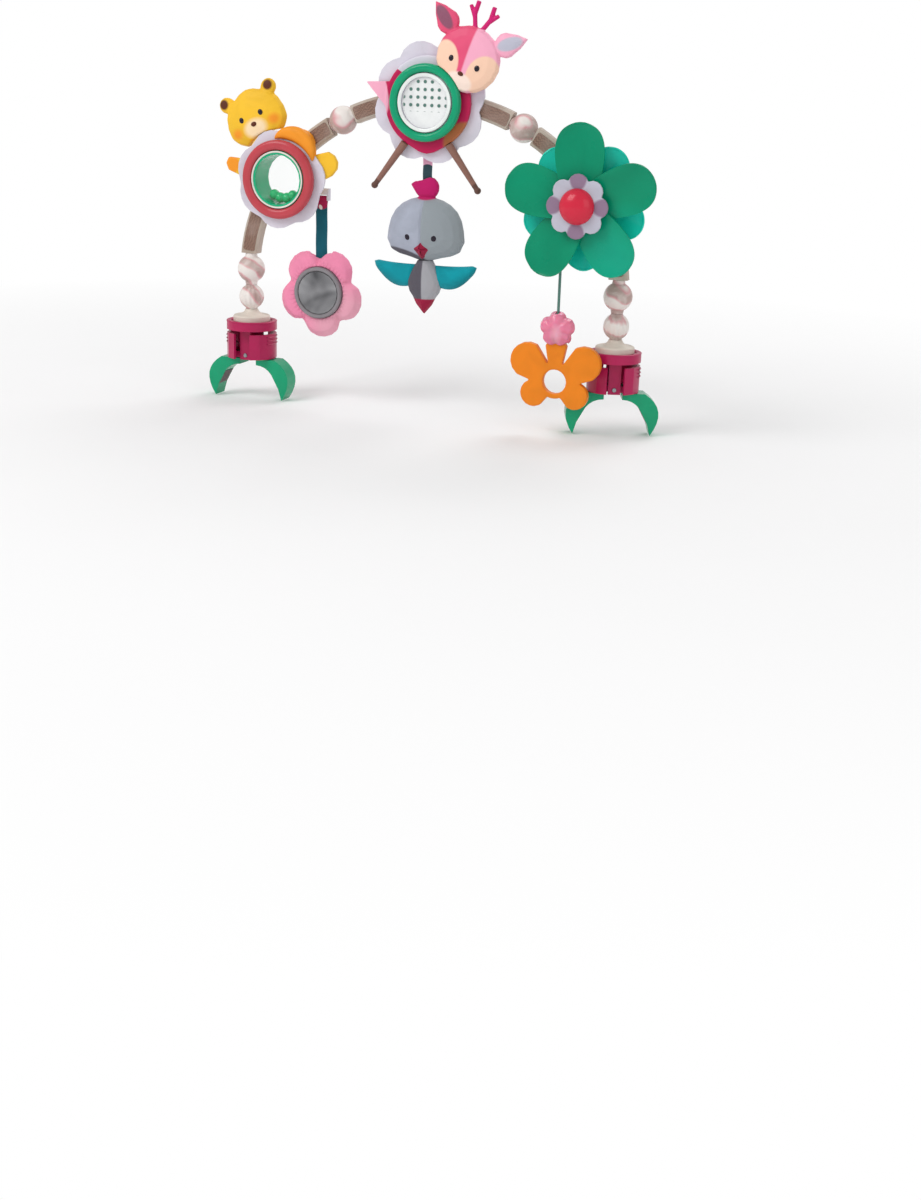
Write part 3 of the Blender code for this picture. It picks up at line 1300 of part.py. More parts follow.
def strap(name, width, length, tongue, pivot, colour):
    """A flat strap hung by a loop round its rod and ending in a round tongue.

    It hangs from the pivot along -Y. The tongue's centre lies one length below.
    """
    half = STRAP_THICKNESS / 2
    count = 8
    turn = math.pi / (count - 1)
    tip = [(-tongue * math.cos(turn * i), -length - tongue * math.sin(turn * i)) for i in range(count)]
    taper = -length * 2 / 3
    shape = [(-width / 2, 0), (-width / 2, taper), *tip, (width / 2, taper), (width / 2, 0)]
    item = plate(name, [shape], -half, half, pivot)
    bore = ROD_RADIUS + CLEAR
    loop = rod(bore + LOOP_WALL, (-width / 2, 0, 0), (width / 2, 0, 0))
    join(item, solid(f"{name}_loop", loop, pivot))
    hole = rod(bore, (-width / 2 - OVERRUN, 0, 0), (width / 2 + OVERRUN, 0, 0))
    cut(item, solid(f"{name}_hole", hole, pivot))
    return paint(item, colour, 0.8)


def tongue_slot(item, name, tongue, pivot):
    """The slit in a toy that its strap's tongue sits in and the toy swings about."""
    half = STRAP_THICKNESS / 2 + CLEAR
    reach = tongue + CLEAR
    well = rod(reach, (0, 0, -half), (0, 0, half), 24)
    wide = reach + SLOT_FLARE
    mouth = box((-wide, -reach * SLOT_DIP_SHARE, -half), (wide, MOUTH_RISE, half))
    cut(item, solid(f"{name}_slot", well, pivot), solid(f"{name}_mouth", mouth, pivot, smooth=False))


def build_flower():
    """The flower toy: strap, padded petals and a mirror in its bezel."""
    start = (FLOWER_ROD_X - CUB_CENTRE[0], CUB_CENTRE[1] + FLOWER_ROD_Y, 0)
    top = frame("flower_strap_axis", start, parent=FACING)
    strap("flower_strap", FLOWER_STRAP_WIDTH, FLOWER_STRAP_LENGTH, FLOWER_TONGUE, top, TEAL)
    pivot = frame("flower_toy_axis", (0, -FLOWER_STRAP_LENGTH, 0), parent=top)
    middle = (0, -FLOWER_DROP, 0)
    petals = scallops(FLOWER_REACH, FLOWER_VALLEY, PETALS, FLOWER_PHASE)
    toy = solid("flower_toy", puff(petals, FLOWER_HALF_DEPTH, 35, 6, 0.8), pivot, middle)
    tongue_slot(toy, "flower_toy", FLOWER_TONGUE, pivot)
    seat = rod(BEZEL_RADIUS + CLEAR, (0, -FLOWER_DROP, BEZEL_BACK - CLEAR),
               (0, -FLOWER_DROP, BEZEL_FRONT + OVERRUN), 40)
    cut(toy, solid("flower_bezel_seat", seat, pivot))
    paint(toy, PETAL_PINK, 0.6)
    lip = BEZEL_FLOOR + CLEAR + MIRROR_THICKNESS
    bezel = turned("flower_bezel", [(0, BEZEL_FLOOR), (MIRROR_RADIUS + CLEAR, BEZEL_FLOOR),
                                    (MIRROR_RADIUS + CLEAR, BEZEL_FRONT), (BEZEL_RADIUS, BEZEL_FRONT),
                                    (BEZEL_RADIUS, BEZEL_BACK), (0, BEZEL_BACK)], pivot, middle)
    paint(bezel, MIRROR_GREY, 0.4)
    pane = rod(MIRROR_RADIUS, (0, 0, BEZEL_FLOOR + CLEAR), (0, 0, lip), ROUND_STEPS)
    paint(solid("flower_mirror", pane, pivot, middle), STEEL, 0.05, 1.0)


def build_bird():
    """The bird toy: strap, padded head with a crest, and padded body with wings."""
    start = (BIRD_ROD_X, DEER_CENTRE[1] + BIRD_ROD_Y, 0)
    top = frame("bird_strap_axis", start, parent=FACING)
    strap("bird_strap", BIRD_STRAP_WIDTH, BIRD_STRAP_LENGTH, BIRD_TONGUE, top, STRAP_PINK)
    pivot = frame("bird_toy_axis", (0, -BIRD_STRAP_LENGTH, 0), parent=top)
    outline = traced(both_sides(BIRD_HEAD_SHARES), BIRD_HEAD_HALF_WIDTH)
    middle = (0, -BIRD_HEAD_DROP, 0)
    head = solid("bird_head", puff(outline, BIRD_HEAD_HALF_DEPTH, 24, 10, 0.9), pivot, middle)
    crest = solid("bird_crest", puff(traced(CREST_SHARES, CREST_REACH), CREST_HALF_DEPTH, 18, 6),
                  pivot, (0, -CREST_DROP, 0))
    join(head, crest)
    tongue_slot(head, "bird_head", BIRD_TONGUE, pivot)
    paint(head, BIRD_GREY, 0.75)

    low = (0, -BIRD_BODY_DROP, 0)
    shape = traced(both_sides(BIRD_BODY_SHARES), BIRD_BODY_HALF_WIDTH)
    body = solid("bird_body", puff(shape, BIRD_BODY_HALF_DEPTH, 20, 8, 0.9), pivot, low)
    for way in (-1, 1):
        feather = puff(traced(WING_SHARES, WING_REACH), WING_HALF_DEPTH, 18, 6)
        wing = solid(f"bird_wing_{way}", feather, pivot,
                     (way * WING_X, WING_Y - BIRD_BODY_DROP, 0), (0, 0, way * WING_TILT))
        wing.scale = (way, 1, 1)
        join(body, wing)
    bite = puff(lambda a: outline(a) + CLEAR, BIRD_HEAD_HALF_DEPTH + CLEAR, 24, 10, 0.9)
    cut(body, solid("bird_neck_cut", bite, pivot, middle))
    paint(body, BIRD_GREY, 0.75)


def build_cord_toy():
    """The cord toy: a cord with an eye and a knot, a flower bead and a butterfly teether."""
    start = (PROP_CENTRE[0] + CORD_X, PROP_CENTRE[1] + CORD_Y, CORD_PLANE)
    top = frame("cord_axis", start, parent=FACING)
    bore = ROD_RADIUS + CLEAR
    outer = bore + EYE_WALL
    half = EYE_WIDTH / 2
    cord = turned("bead_cord", [(bore, half), (outer, half), (outer, -half), (bore, -half)], top, steps=16)
    shares = [i / (CORD_POINTS - 1) for i in range(CORD_POINTS)]
    first = -bore - EYE_WALL / 2
    run = [(0, first + (-CORD_LENGTH - first) * share, 0) for share in shares]
    join(cord, tube("bead_cord_run", run, CORD_RADIUS, top))
    knot = rod(KNOT_RADIUS, (-KNOT_LENGTH / 2, -CORD_LENGTH, 0), (KNOT_LENGTH / 2, -CORD_LENGTH, 0))
    join(cord, solid("bead_cord_knot", knot, top))
    paint(cord, CORD_GREEN, 0.7)

    pivot = frame("teether_axis", (0, -CORD_LENGTH, 0), parent=top)
    middle = (0, -CORD_BEAD_DROP, 0)
    petals = scallops(CORD_BEAD_RADIUS, CORD_BEAD_VALLEY, PETALS, math.pi / 2)
    bead = solid("cord_bead", puff(petals, CORD_BEAD_HALF_DEPTH, 25, 6, 0.6), pivot, middle)
    far = KNOT_LENGTH / 2 + CLEAR
    pocket = rod(KNOT_RADIUS + CLEAR, (-far, 0, 0), (far, 0, 0), 20)
    side = CORD_RADIUS + CLEAR
    mouth = box((-side, 0, -side), (side, CORD_BEAD_RADIUS, MOUTH_DEPTH))
    neck = NECK_LOBE_RADIUS + CLEAR
    thick = TEETHER_THICKNESS / 2 + CLEAR
    slot = box((-neck, -CORD_BEAD_DROP - CORD_BEAD_RADIUS - OVERRUN, -thick),
               (neck, NECK_LOBE_Y + NECK_LOBE_RADIUS - TEETHER_DROP + CLEAR, thick))
    cut(bead, solid("cord_bead_pocket", pocket, pivot), solid("cord_bead_mouth", mouth, pivot, smooth=False),
        solid("cord_bead_slot", slot, pivot, smooth=False))
    paint(bead, BEAD_ROSE, 0.15)

    lobes = [(0, NECK_LOBE_Y, NECK_LOBE_RADIUS)]
    for way in (-1, 1):
        lobes.append((way * UPPER_LOBE_X, UPPER_LOBE_Y, UPPER_LOBE_RADIUS))
        lobes.append((way * LOWER_LOBE_X, LOWER_LOBE_Y, LOWER_LOBE_RADIUS))
    outline = polar(lobed(lobes, HOLE_WALL), 54)
    half = TEETHER_THICKNESS / 2
    teether = plate("teether", [outline, circle((0, 0), TEETHER_HOLE)], -half, half, pivot,
                    (0, -TEETHER_DROP, 0), edge=TEETHER_EDGE)
    paint(teether, TEETHER_ORANGE, 0.35)


def main():
    pegs = build_arch()
    build_clip("left", -1, 0)
    build_clip("right", 1, RIGHT_CLIP_TURN)
    build_cub(pegs["left"])
    build_deer((pegs["left_crown"], pegs["right_crown"]))
    build_propeller(pegs["right"])
    build_flower()
    build_bird()
    build_cord_toy()


if __name__ == "__main__":
    main()
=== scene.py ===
from math import asin, atan2, copysign, cos, exp, hypot, pi, radians, sin, sqrt

import bmesh
import bpy
from bmesh.types import BMEdge, BMVert
from bpy.props import FloatProperty, FloatVectorProperty, PointerProperty
from bpy.types import NodeSocket, Operator, Panel, PropertyGroup
from mathutils import Matrix, Vector


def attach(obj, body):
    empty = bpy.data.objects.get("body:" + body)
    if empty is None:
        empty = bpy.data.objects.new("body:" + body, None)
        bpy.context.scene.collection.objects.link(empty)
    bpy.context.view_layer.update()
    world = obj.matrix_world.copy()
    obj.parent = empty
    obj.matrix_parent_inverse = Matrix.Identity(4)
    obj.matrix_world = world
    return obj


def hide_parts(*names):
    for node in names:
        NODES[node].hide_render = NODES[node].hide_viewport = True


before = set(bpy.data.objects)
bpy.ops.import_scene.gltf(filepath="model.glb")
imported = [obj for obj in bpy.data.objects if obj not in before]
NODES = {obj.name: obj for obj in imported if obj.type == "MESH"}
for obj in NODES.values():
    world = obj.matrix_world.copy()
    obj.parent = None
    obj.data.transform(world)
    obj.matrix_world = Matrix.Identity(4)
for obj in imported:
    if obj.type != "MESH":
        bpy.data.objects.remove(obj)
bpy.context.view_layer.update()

bl_info = {
    "name": "Stroller play arch",
    "version": (1, 0, 0),
    "blender": (4, 5, 0),
    "location": "View3D > Sidebar > Play Arch",
    "description": "Dresses a stroller play arch: moulded bars, beads, clips, units and sewn toys",
    "category": "Object",
}

FACING = Matrix.Rotation(pi / 2, 4, "X")
FULL_TURN = 2 * pi
PETAL_TURN = radians(72)
SIDES = (("left", -1), ("right", 1))
WAYS = (-1, 1)
SHARP = 38

# Centres of the units and toys, as (across, up)
CUB = (-0.154692, 0.204083)
FAWN = (0.0, 0.283457)
PROPELLER = (0.168309, 0.199209)
FLOWER = (-0.116192, 0.093383)
BIRD_HEAD = (-0.0035, 0.162957)
BIRD_BODY = (-0.0035, 0.112957)
TEETHER = (0.146309, 0.0309)

# The arch's line: arcs as ((across, up), radius), and bars as (name, arc, start, end) in degrees
HALF_SPAN = 0.195
FLOOR_LEVEL = -0.0225
FOOT_LEVEL = 0.058
PIN_DROP = 0.0343
SIDE_ARC = ((0.03851, 0.11), 0.1575)
TOP_ARC = ((0.0, 0.07769), 0.20777)
TOP_BEAD_ANGLE = radians(63.3)
BARS = (("left_lower", SIDE_ARC, 7.6, 24.6), ("left_upper", TOP_ARC, 50.6, 59.0),
        ("left_crown", TOP_ARC, 67.6, 79.8), ("right_lower", SIDE_ARC, 7.6, 24.2),
        ("right_upper", TOP_ARC, 44.2, 59.0), ("right_crown", TOP_ARC, 67.6, 79.8))
BAR_HALF = 0.0095
INLAY_OUT = 0.00675
BEAD_HUB = 0.0064
RING_BACK = 0.0157
RING_DEPTH = 0.0098
PAD_LENGTH = 0.0155

# Clip spring
SPRING_RADIUS = 0.0032
SPRING_WIRE = 0.0006
SPRING_PITCH = 0.0018
SPRING_TURNS = 3.5
SPRING_REACH = 0.0218
SPRING_RISE = 0.012

# Ribbons and cord
FLOWER_ROD = 0.187583
BIRD_ROD = 0.243957
ROD_BEND = 0.002
SEWN_DROP = 0.0075
CORD_OUT = 0.0355
CORD_TOP = 0.180509
CORD_EYE = 0.182709
CORD_LOW = 0.094709
CORD_WIDTH = 0.0028


# Colours and sizes that a user would change

def linear(channel):
    """One 8-bit channel as the linear value that a shader takes."""
    value = channel / 255
    return value / 12.92 if value <= 0.04045 else ((value + 0.055) / 1.055) ** 2.4


def tint(label, *channels):
    """A colour property with its default."""
    return FloatVectorProperty(
        name=label, description=f"Colour: {label.lower()}", subtype="COLOR", size=3, min=0, max=1,
        default=[linear(channel) for channel in channels])


def measure(label, value, description):
    """A length property with its default, in metres."""
    return FloatProperty(
        name=label, description=description, default=value, min=0, unit="LENGTH", precision=4)


class ArchColours(PropertyGroup):
    """The moulded, sewn and printed colours of the arch, with some painted shade and painted light.
    """
    cream: tint("Cream plastic", 222, 212, 200)
    bar: tint("Bar plastic", 192, 180, 168)
    bar_shade: tint("Bar shade", 170, 154, 140)
    inlay: tint("Inlay", 140, 108, 92)
    inlay_grain: tint("Inlay grain", 112, 84, 70)
    bead_white: tint("Bead white", 232, 225, 220)
    bead_pink: tint("Bead pink", 212, 154, 158)
    bead_taupe: tint("Bead taupe", 184, 158, 152)
    magenta: tint("Clip magenta", 178, 26, 84)
    claw: tint("Claw green", 10, 158, 112)
    pad: tint("Grip pad", 120, 108, 110)
    steel: tint("Steel", 160, 162, 166)
    lavender: tint("Plate lavender", 218, 214, 226)
    coral: tint("Coral ring", 192, 70, 80)
    chamber: tint("Chamber green", 14, 176, 124)
    rattle: tint("Rattle green", 0, 184, 112)
    ring: tint("Ring green", 6, 160, 114)
    yellow: tint("Cub yellow", 244, 192, 48)
    orange: tint("Cub orange", 242, 152, 40)
    brown: tint("Face brown", 92, 46, 30)
    dark: tint("Eye", 34, 26, 40)
    fawn_deep: tint("Fawn deep pink", 232, 84, 124)
    fawn_light: tint("Fawn light pink", 245, 172, 198)
    fawn_face: tint("Fawn peach", 248, 206, 180)
    fawn_body: tint("Fawn magenta", 196, 26, 84)
    leg: tint("Leg brown", 144, 104, 92)
    haunch: tint("Haunch", 178, 104, 62)
    antler: tint("Antler", 206, 28, 112)
    propeller: tint("Propeller green", 0, 144, 106)
    # The rear petals' own paler green, lightened further as painted light for light passing through
    # the front petals
    propeller_back: tint("Rear petals", 20, 208, 184)
    lilac: tint("Rosette lilac", 190, 190, 204)
    mauve: tint("Rosette mauve", 142, 118, 142)
    dome: tint("Dome red", 208, 38, 64)
    teal: tint("Teal ribbon", 0, 96, 114)
    petal: tint("Petal pink", 254, 150, 186)
    # Painted shade: a duller pink for the flower's lower right, where shade falls
    petal_painted_shade: tint("Petal shade", 240, 170, 190)
    bezel: tint("Bezel grey", 138, 134, 138)
    bird_pale: tint("Bird pale", 178, 184, 200)
    bird_grey: tint("Bird grey", 154, 162, 168)
    bird_dark: tint("Bird dark", 94, 90, 100)
    bird_light: tint("Bird light", 172, 172, 178)
    tail: tint("Bird tail", 162, 24, 64)
    wing: tint("Wing teal", 0, 160, 174)
    crest: tint("Crest", 198, 22, 106)
    ribbon_pink: tint("Pink ribbon", 255, 186, 216)
    cord: tint("Cord", 92, 140, 128)
    rose: tint("Rose bead", 246, 142, 174)
    orange_toy: tint("Teether orange", 236, 134, 26)
    floor: tint("Floor", 243, 243, 244)


class ArchSizes(PropertyGroup):
    """The small sizes of the moulded and sewn detail."""
    edge: measure("Moulded edge", 0.0005, "Rounding of the moulded pieces' edges")
    inlay_inset: measure("Inlay inset", 0.0032, "Distance from a bar's edge to its inlay")
    flute: measure("Flute depth", 0.0009, "Depth of the lower beads' flutes")
    seam: measure("Seam depth", 0.0016, "Depth of the sewn seams")
    petal_cup: measure("Petal cup", 0.0035, "How far a propeller petal is dished")
    dot_pitch: measure("Dot pitch", 0.0072, "Distance between the dots on the fawn's disc")


# Node materials

def add_node(tree, kind, inputs=(), **fields):
    """A new shader node, with its inputs linked or set."""
    item = tree.nodes.new(f"ShaderNode{kind}")
    for field, value in fields.items():
        setattr(item, field, value)
    for socket, value in dict(inputs).items():
        if isinstance(value, NodeSocket):
            tree.links.new(value, item.inputs[socket])
        else:
            item.inputs[socket].default_value = value
    return item


class Shader:
    """Builds one node material, on Object coordinates."""

    def __init__(self, name, **settings):
        self.material = bpy.data.materials.new(name)
        self.material.use_nodes = True
        self.tree = self.material.node_tree
        self.out = self.tree.nodes["Principled BSDF"]
        for setting, value in settings.items():
            socket = setting.replace("_", " ").title().replace("Ior", "IOR")
            self.out.inputs[socket].default_value = value
        self.place = self.node("TexCoord").outputs["Object"]

    def node(self, kind, inputs=(), **fields):
        return add_node(self.tree, kind, inputs, **fields)

    def mapped(self, centre=(0, 0, 0), turn=(0, 0, 0), scale=(1, 1, 1)):
        """Object coordinates seen from a place on the piece."""
        inputs = {"Vector": self.place, "Location": centre, "Rotation": turn, "Scale": scale}
        return self.node("Mapping", inputs, vector_type="TEXTURE").outputs[0]

    def noise(self, scale, detail=3.0, distortion=0.0, vector=None):
        inputs = {"Vector": vector or self.place, "Scale": scale, "Detail": detail,
                  "Distortion": distortion}
        return self.node("TexNoise", inputs).outputs["Fac"]

    def wave(self, scale, distortion, vector, direction="X", detail=2.0):
        inputs = {"Vector": vector, "Scale": scale, "Distortion": distortion, "Detail": detail}
        return self.node("TexWave", inputs, bands_direction=direction).outputs["Fac"]

    def ramp(self, value, stops):
        item = self.node("ValToRGB", {"Fac": value})
        marks = item.color_ramp.elements
        while len(marks) < len(stops):
            marks.new(0.5)
        for mark, (where, colour) in zip(marks, stops):
            mark.position = where
            mark.color = (*colour, 1)
        return item.outputs["Color"]

    def calc(self, operation, first, second=0.0):
        return self.node("Math", {0: first, 1: second}, operation=operation).outputs[0]

    def vector(self, operation, first, second=(0, 0, 0)):
        item = self.node("VectorMath", {0: first, 1: second}, operation=operation)
        return item.outputs["Value" if operation == "LENGTH" else "Vector"]

    def axis(self, name):
        return self.node("SeparateXYZ", {0: self.place}).outputs[name]

    def span(self, value, low, high, to_low=0.0, to_high=1.0):
        inputs = {"Value": value, "From Min": low, "From Max": high, "To Min": to_low,
                  "To Max": to_high}
        return self.node("MapRange", inputs).outputs[0]

    def mix(self, share, *colours):
        first, second = (c if isinstance(c, NodeSocket) else (*c, 1) for c in colours)
        inputs = {"Factor": share, 6: first, 7: second}
        return self.node("Mix", inputs, data_type="RGBA").outputs[2]

    def patch(self, colour, shape):
        """Another colour inside the ellipsoid that place_spot gives."""
        tone, centre, turn, radii, edge, back = shape
        near = self.vector("LENGTH", self.mapped(centre, (0, turn, 0), radii))
        share = self.span(near, 1 + edge, 1 - edge)
        if back is not None:
            ahead = self.span(self.axis("Y"), back + 0.0006, back - 0.0006)
            share = self.calc("MULTIPLY", share, ahead)
        return self.mix(share, colour, tone)

    def mottled(self, colour, low, scale, detail, distortion, ends, patches=()):
        """A colour that drifts to a lower one, with its patches on top."""
        drift = self.noise(scale, detail, distortion)
        tone = self.ramp(drift, ((ends[0], low), (ends[1], colour)))
        for shape in patches:
            tone = self.patch(tone, shape)
        return tone

    def finish(self, colour, rough, spread, bump, bump_scale, relief=None):
        """Links colour, roughness and bump to the shader and returns the material."""
        height = self.noise(bump_scale, 2.0)
        if relief is not None:
            height = self.calc("ADD", self.calc("MULTIPLY", height, 0.3), relief)
        normal = self.node("Bump", {"Height": height, "Strength": bump, "Distance": 0.0004})
        scuffs = self.span(self.noise(55), 0.3, 0.7, rough - spread, rough + spread)
        for socket, value in (("Base Color", colour), ("Roughness", scuffs),
                              ("Normal", normal.outputs[0])):
            self.tree.links.new(value, self.out.inputs[socket])
        return self.material


def darker(colour, share):
    """A colour scaled towards black."""
    return tuple(c * share for c in colour)


def paler(colour, share):
    """A colour mixed towards white."""
    return tuple(c + (1 - c) * share for c in colour)


def place_spot(unit, x, y, across, high, colour, edge, tilt=0.0, deep=0.04, back=None):
    """A patch on a unit, for a material: it ends at a depth where back is given."""
    return colour, (unit[0] + x, 0, unit[1] + y), -tilt, (across, deep, high), edge, back


def half_spot(unit, colour):
    """A patch over all that lies right of a unit's centre."""
    return place_spot(unit, 0.3, 0, 0.3, 1.0, colour, 0.002, deep=3.0)


def moulded(name, colour, rough=0.42, second=None, patches=(), bump=0.12, scale=38, **settings):
    """Moulded plastic: faint flow marks, a fine grain and scuffed roughness."""
    shader = Shader(name, **{"specular_ior_level": 0.22, **settings})
    low = second or darker(colour, 0.9)
    tone = shader.mottled(colour, low, scale, 4.0, 0.6, (0.36, 0.62), patches)
    return shader.finish(tone, rough, 0.05, bump, 1500)


def glossy(name, colour, rough=0.18, **settings):
    """Glossy plastic with a clear coat of its own."""
    return moulded(name, colour, rough, bump=0.04, coat_weight=0.16, coat_roughness=0.08,
                   **settings)


def cloth(name, colour, patches=(), second=None, pitch=0.0007, bump=0.45, rough=0.85):
    """Woven cloth: warp and weft threads, uneven dye, painted shade between the threads and a soft
    sheen.
    """
    shader = Shader(name, sheen_weight=0.12, sheen_roughness=0.5, specular_ior_level=0.2)
    warp, weft = (shader.wave(0.314 / pitch, 0.4, shader.place, axis) for axis in "XZ")
    weave = shader.calc("MULTIPLY", warp, weft)
    low = second or darker(colour, 0.84)
    tone = shader.mottled(colour, low, 46, 4.0, 0.8, (0.36, 0.64), patches)
    # Painted shade: up to a tenth darker where the threads part
    tone = shader.mix(shader.span(weave, 0.0, 0.6, 0.1, 0.0), tone, (0.02, 0.02, 0.02))
    return shader.finish(tone, rough, 0.06, bump, 900, weave)


def ribbon_cloth(name, colour, patches):
    """Close-woven ribbon, smoother than the toys' cloth."""
    return cloth(name, colour, patches, pitch=0.0006, bump=0.5, rough=0.7)


def swirled(name, white, pink, taupe, seed, turn):
    """Bead plastic with two colours swirled into white."""
    shader = Shader(name, coat_weight=0.12, coat_roughness=0.2, specular_ior_level=0.3)
    there = shader.mapped((seed, seed * 0.7, 0), (turn, 0.5, 0))
    bands = shader.wave(14, 7.0, there, "Z", 3.0)
    tone = shader.ramp(bands, ((0.2, taupe), (0.42, pink), (0.72, white)))
    mottle = shader.noise(70, 5.0, 1.2, there)
    tone = shader.mix(shader.span(mottle, 0.45, 0.65, 0.0, 0.4), tone, white)
    return shader.finish(tone, 0.42, 0.06, 0.1, 1300)


def grained(name, light, dark, turn):
    """Wood-look inlay: long grain along the bar, turned to its slope."""
    shader = Shader(name)
    along = shader.mapped(turn=(0, turn, 0), scale=(1.0, 1.0, 0.16))
    rings = shader.wave(110, 9.0, along, "X", 3.0)
    tone = shader.ramp(rings, ((0.25, dark), (0.7, light)))
    streaks = shader.span(shader.noise(60, 5.0), 0.4, 0.65, 0.0, 0.5)
    tone = shader.mix(streaks, tone, paler(light, 0.12))
    return shader.finish(tone, 0.55, 0.06, 0.25, 900, rings)


def metal(name, colour):
    """Bright drawn wire and pin steel."""
    shader = Shader(name, metallic=1.0)
    tone = shader.mottled(colour, darker(colour, 0.8), 320, 4.0, 0.0, (0.35, 0.65))
    return shader.finish(tone, 0.26, 0.08, 0.08, 2200)


def clear(name, colour, alpha, dots=None, pitch=0.0):
    """Clear plastic window, with the fawn's printed grid of dots where asked."""
    shader = Shader(name, coat_weight=0.04, coat_roughness=0.05, specular_ior_level=0.12)
    haze = shader.noise(30)
    tone = shader.ramp(haze, ((0.35, darker(colour, 0.96)), (0.65, colour)))
    cover = shader.span(haze, 0.3, 0.7, alpha * 0.85, alpha * 1.15)
    if dots is not None:
        grid = shader.mapped((pitch / 2, 0, FAWN[1] + 0.0013), scale=(pitch, 1, pitch))
        inner = shader.vector("SUBTRACT", shader.vector("FRACTION", grid), (0.5, 0, 0.5))
        away = shader.vector("LENGTH", shader.vector("MULTIPLY", inner, (1, 0, 1)))
        disc = shader.mapped((FAWN[0], -0.02, FAWN[1]), scale=(0.0222, 1, 0.0222))
        above = shader.span(shader.axis("Z"), FAWN[1] - 0.0085, FAWN[1] - 0.008)
        within = shader.span(shader.vector("LENGTH", disc), 1.03, 0.97)
        mask = shader.calc("MULTIPLY", shader.span(away, 0.27, 0.2), above)
        mask = shader.calc("MULTIPLY", mask, within)
        tone = shader.mix(mask, tone, dots)
        cover = shader.calc("MAXIMUM", cover, mask)
    shader.tree.links.new(cover, shader.out.inputs["Alpha"])
    return shader.finish(tone, 0.1, 0.03, 0.02, 400)


# Mesh helpers

def moved(x, y, z):
    """A shift."""
    return Matrix.Translation((x, y, z))


def turned(angle, axis="Z"):
    """A turn about an axis."""
    return Matrix.Rotation(angle, 4, axis)


def meshed(name, bm):
    """A bmesh as a mesh."""
    mesh = bpy.data.meshes.new(name)
    bm.to_mesh(mesh)
    bm.free()
    return mesh


def linked(name, data):
    """A new object in the scene."""
    item = bpy.data.objects.new(name, data)
    bpy.context.scene.collection.objects.link(item)
    return item


def settled(bm, place=Matrix(), weld=0.0):
    """Welds points that meet, turns the faces outwards and moves the form to its place."""
    if weld:
        bmesh.ops.remove_doubles(bm, verts=bm.verts, dist=weld)
    bmesh.ops.recalc_face_normals(bm, faces=bm.faces)
    bmesh.ops.transform(bm, matrix=place, verts=bm.verts)
    return bm


def thickened(bm, thickness, place=Matrix()):
    """A sheet with its thickness, moved to its place."""
    bmesh.ops.solidify(bm, geom=bm.faces, thickness=thickness)
    return settled(bm, place)


def only(kind, items):
    """The vertices or edges among mixed items."""
    return [item for item in items if isinstance(item, kind)]


def fixed(item, body, node=None):
    """Fixes a piece to its body and hides the CAD node that it stands for or belongs with."""
    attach(item, body)
    if node:
        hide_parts(node)
    return item


def dressed(item, material, body, node=None, angle=SHARP):
    """Smooths, paints and fixes an object whose mesh is in place."""
    item.data.shade_smooth()
    item.data.set_sharp_from_angle(angle=radians(angle))
    item.data.materials.clear()
    item.data.materials.append(material)
    return fixed(item, body, node)


def piece(name, bm, material, body, node=None, angle=SHARP):
    """Makes a finished piece from a bmesh in the arch's frame."""
    return dressed(linked(name, meshed(name, bm)), material, body, node, angle)


def merged(node):
    """A welded copy of a CAD node's mesh, with its flat faces whole again."""
    bm = bmesh.new()
    bm.from_mesh(NODES[node].data)
    bmesh.ops.remove_doubles(bm, verts=bm.verts, dist=0.00001)
    bmesh.ops.dissolve_limit(bm, angle_limit=radians(0.5), verts=bm.verts, edges=bm.edges)
    return bm


def refined(node, material, body, edge=None):
    """A moulded piece: the CAD form with rounded edges and smooth curves."""
    item = piece(f"{node}_moulding", merged(node), material, body, node)
    bevel = item.modifiers.new("moulded_edge", "BEVEL")
    bevel.width = edge or bpy.context.scene.arch_sizes.edge
    bevel.segments = 2
    bevel.limit_method = "ANGLE"
    bevel.angle_limit = radians(SHARP)
    bevel.harden_normals = True


def softened(node, name, material, body, voxel, rounds, reshape=None, cut=None):
    """A rounded piece: the CAD form remeshed evenly, smoothed, cut and shaped point by point."""
    bm = merged(node)
    bmesh.ops.triangulate(bm, faces=bm.faces)
    item = linked(name, meshed(name, bm))
    remesh = item.modifiers.new("even", "REMESH")
    remesh.mode = "VOXEL"
    remesh.voxel_size = voxel
    bm = bmesh.new()
    bm.from_mesh(item.evaluated_get(bpy.context.evaluated_depsgraph_get()).to_mesh())
    item.modifiers.clear()
    for _ in range(rounds):
        bmesh.ops.smooth_vert(bm, verts=bm.verts, factor=0.5, use_axis_x=True, use_axis_y=True,
                              use_axis_z=True)
    if cut is not None:
        cut(bm)
    if reshape is not None:
        for vertex in bm.verts:
            reshape(vertex.co)
    bm.to_mesh(item.data)
    bm.free()
    return dressed(item, material, body, node, 180)


def spun(outline, angle, steps, closed=False, start=0.0):
    """An outline of (radius, height) points spun about Z from a start angle."""
    bm = bmesh.new()
    points = [bm.verts.new((radius * cos(start), radius * sin(start), height))
              for radius, height in outline]
    ends = points[1:] + points[:1] if closed else points[1:]
    edges = [bm.edges.new(pair) for pair in zip(points, ends)]
    bmesh.ops.spin(bm, geom=points + edges, cent=(0, 0, 0), axis=(0, 0, 1), angle=angle,
                   steps=steps, use_merge=angle == FULL_TURN)
    return bm


def lathed(outline, place, steps=64, closed=False):
    """A turned form about the place's Z axis."""
    return settled(spun(outline, FULL_TURN, steps, closed), place, 0.000001)


def on_unit(unit, x=0.0, y=0.0, out=0.0, turn=0.0):
    """A place on a unit: across, up and out towards the front, turned about the front axis."""
    return moved(unit[0] + x, -out, unit[1] + y) @ FACING @ turned(turn)


def rounded(radii, place, steps=24):
    """An ellipsoid with its own place, drawn from a sphere."""
    bm = bmesh.new()
    bmesh.ops.create_uvsphere(bm, u_segments=steps, v_segments=steps * 2 // 3, radius=1)
    return settled(bm, place @ Matrix.Diagonal((*radii, 1)))


def gathered(parts):
    """Several bmeshes as one."""
    whole = bmesh.new()
    for part in parts:
        mesh = meshed("part", part)
        whole.from_mesh(mesh)
        bpy.data.meshes.remove(mesh)
    return whole


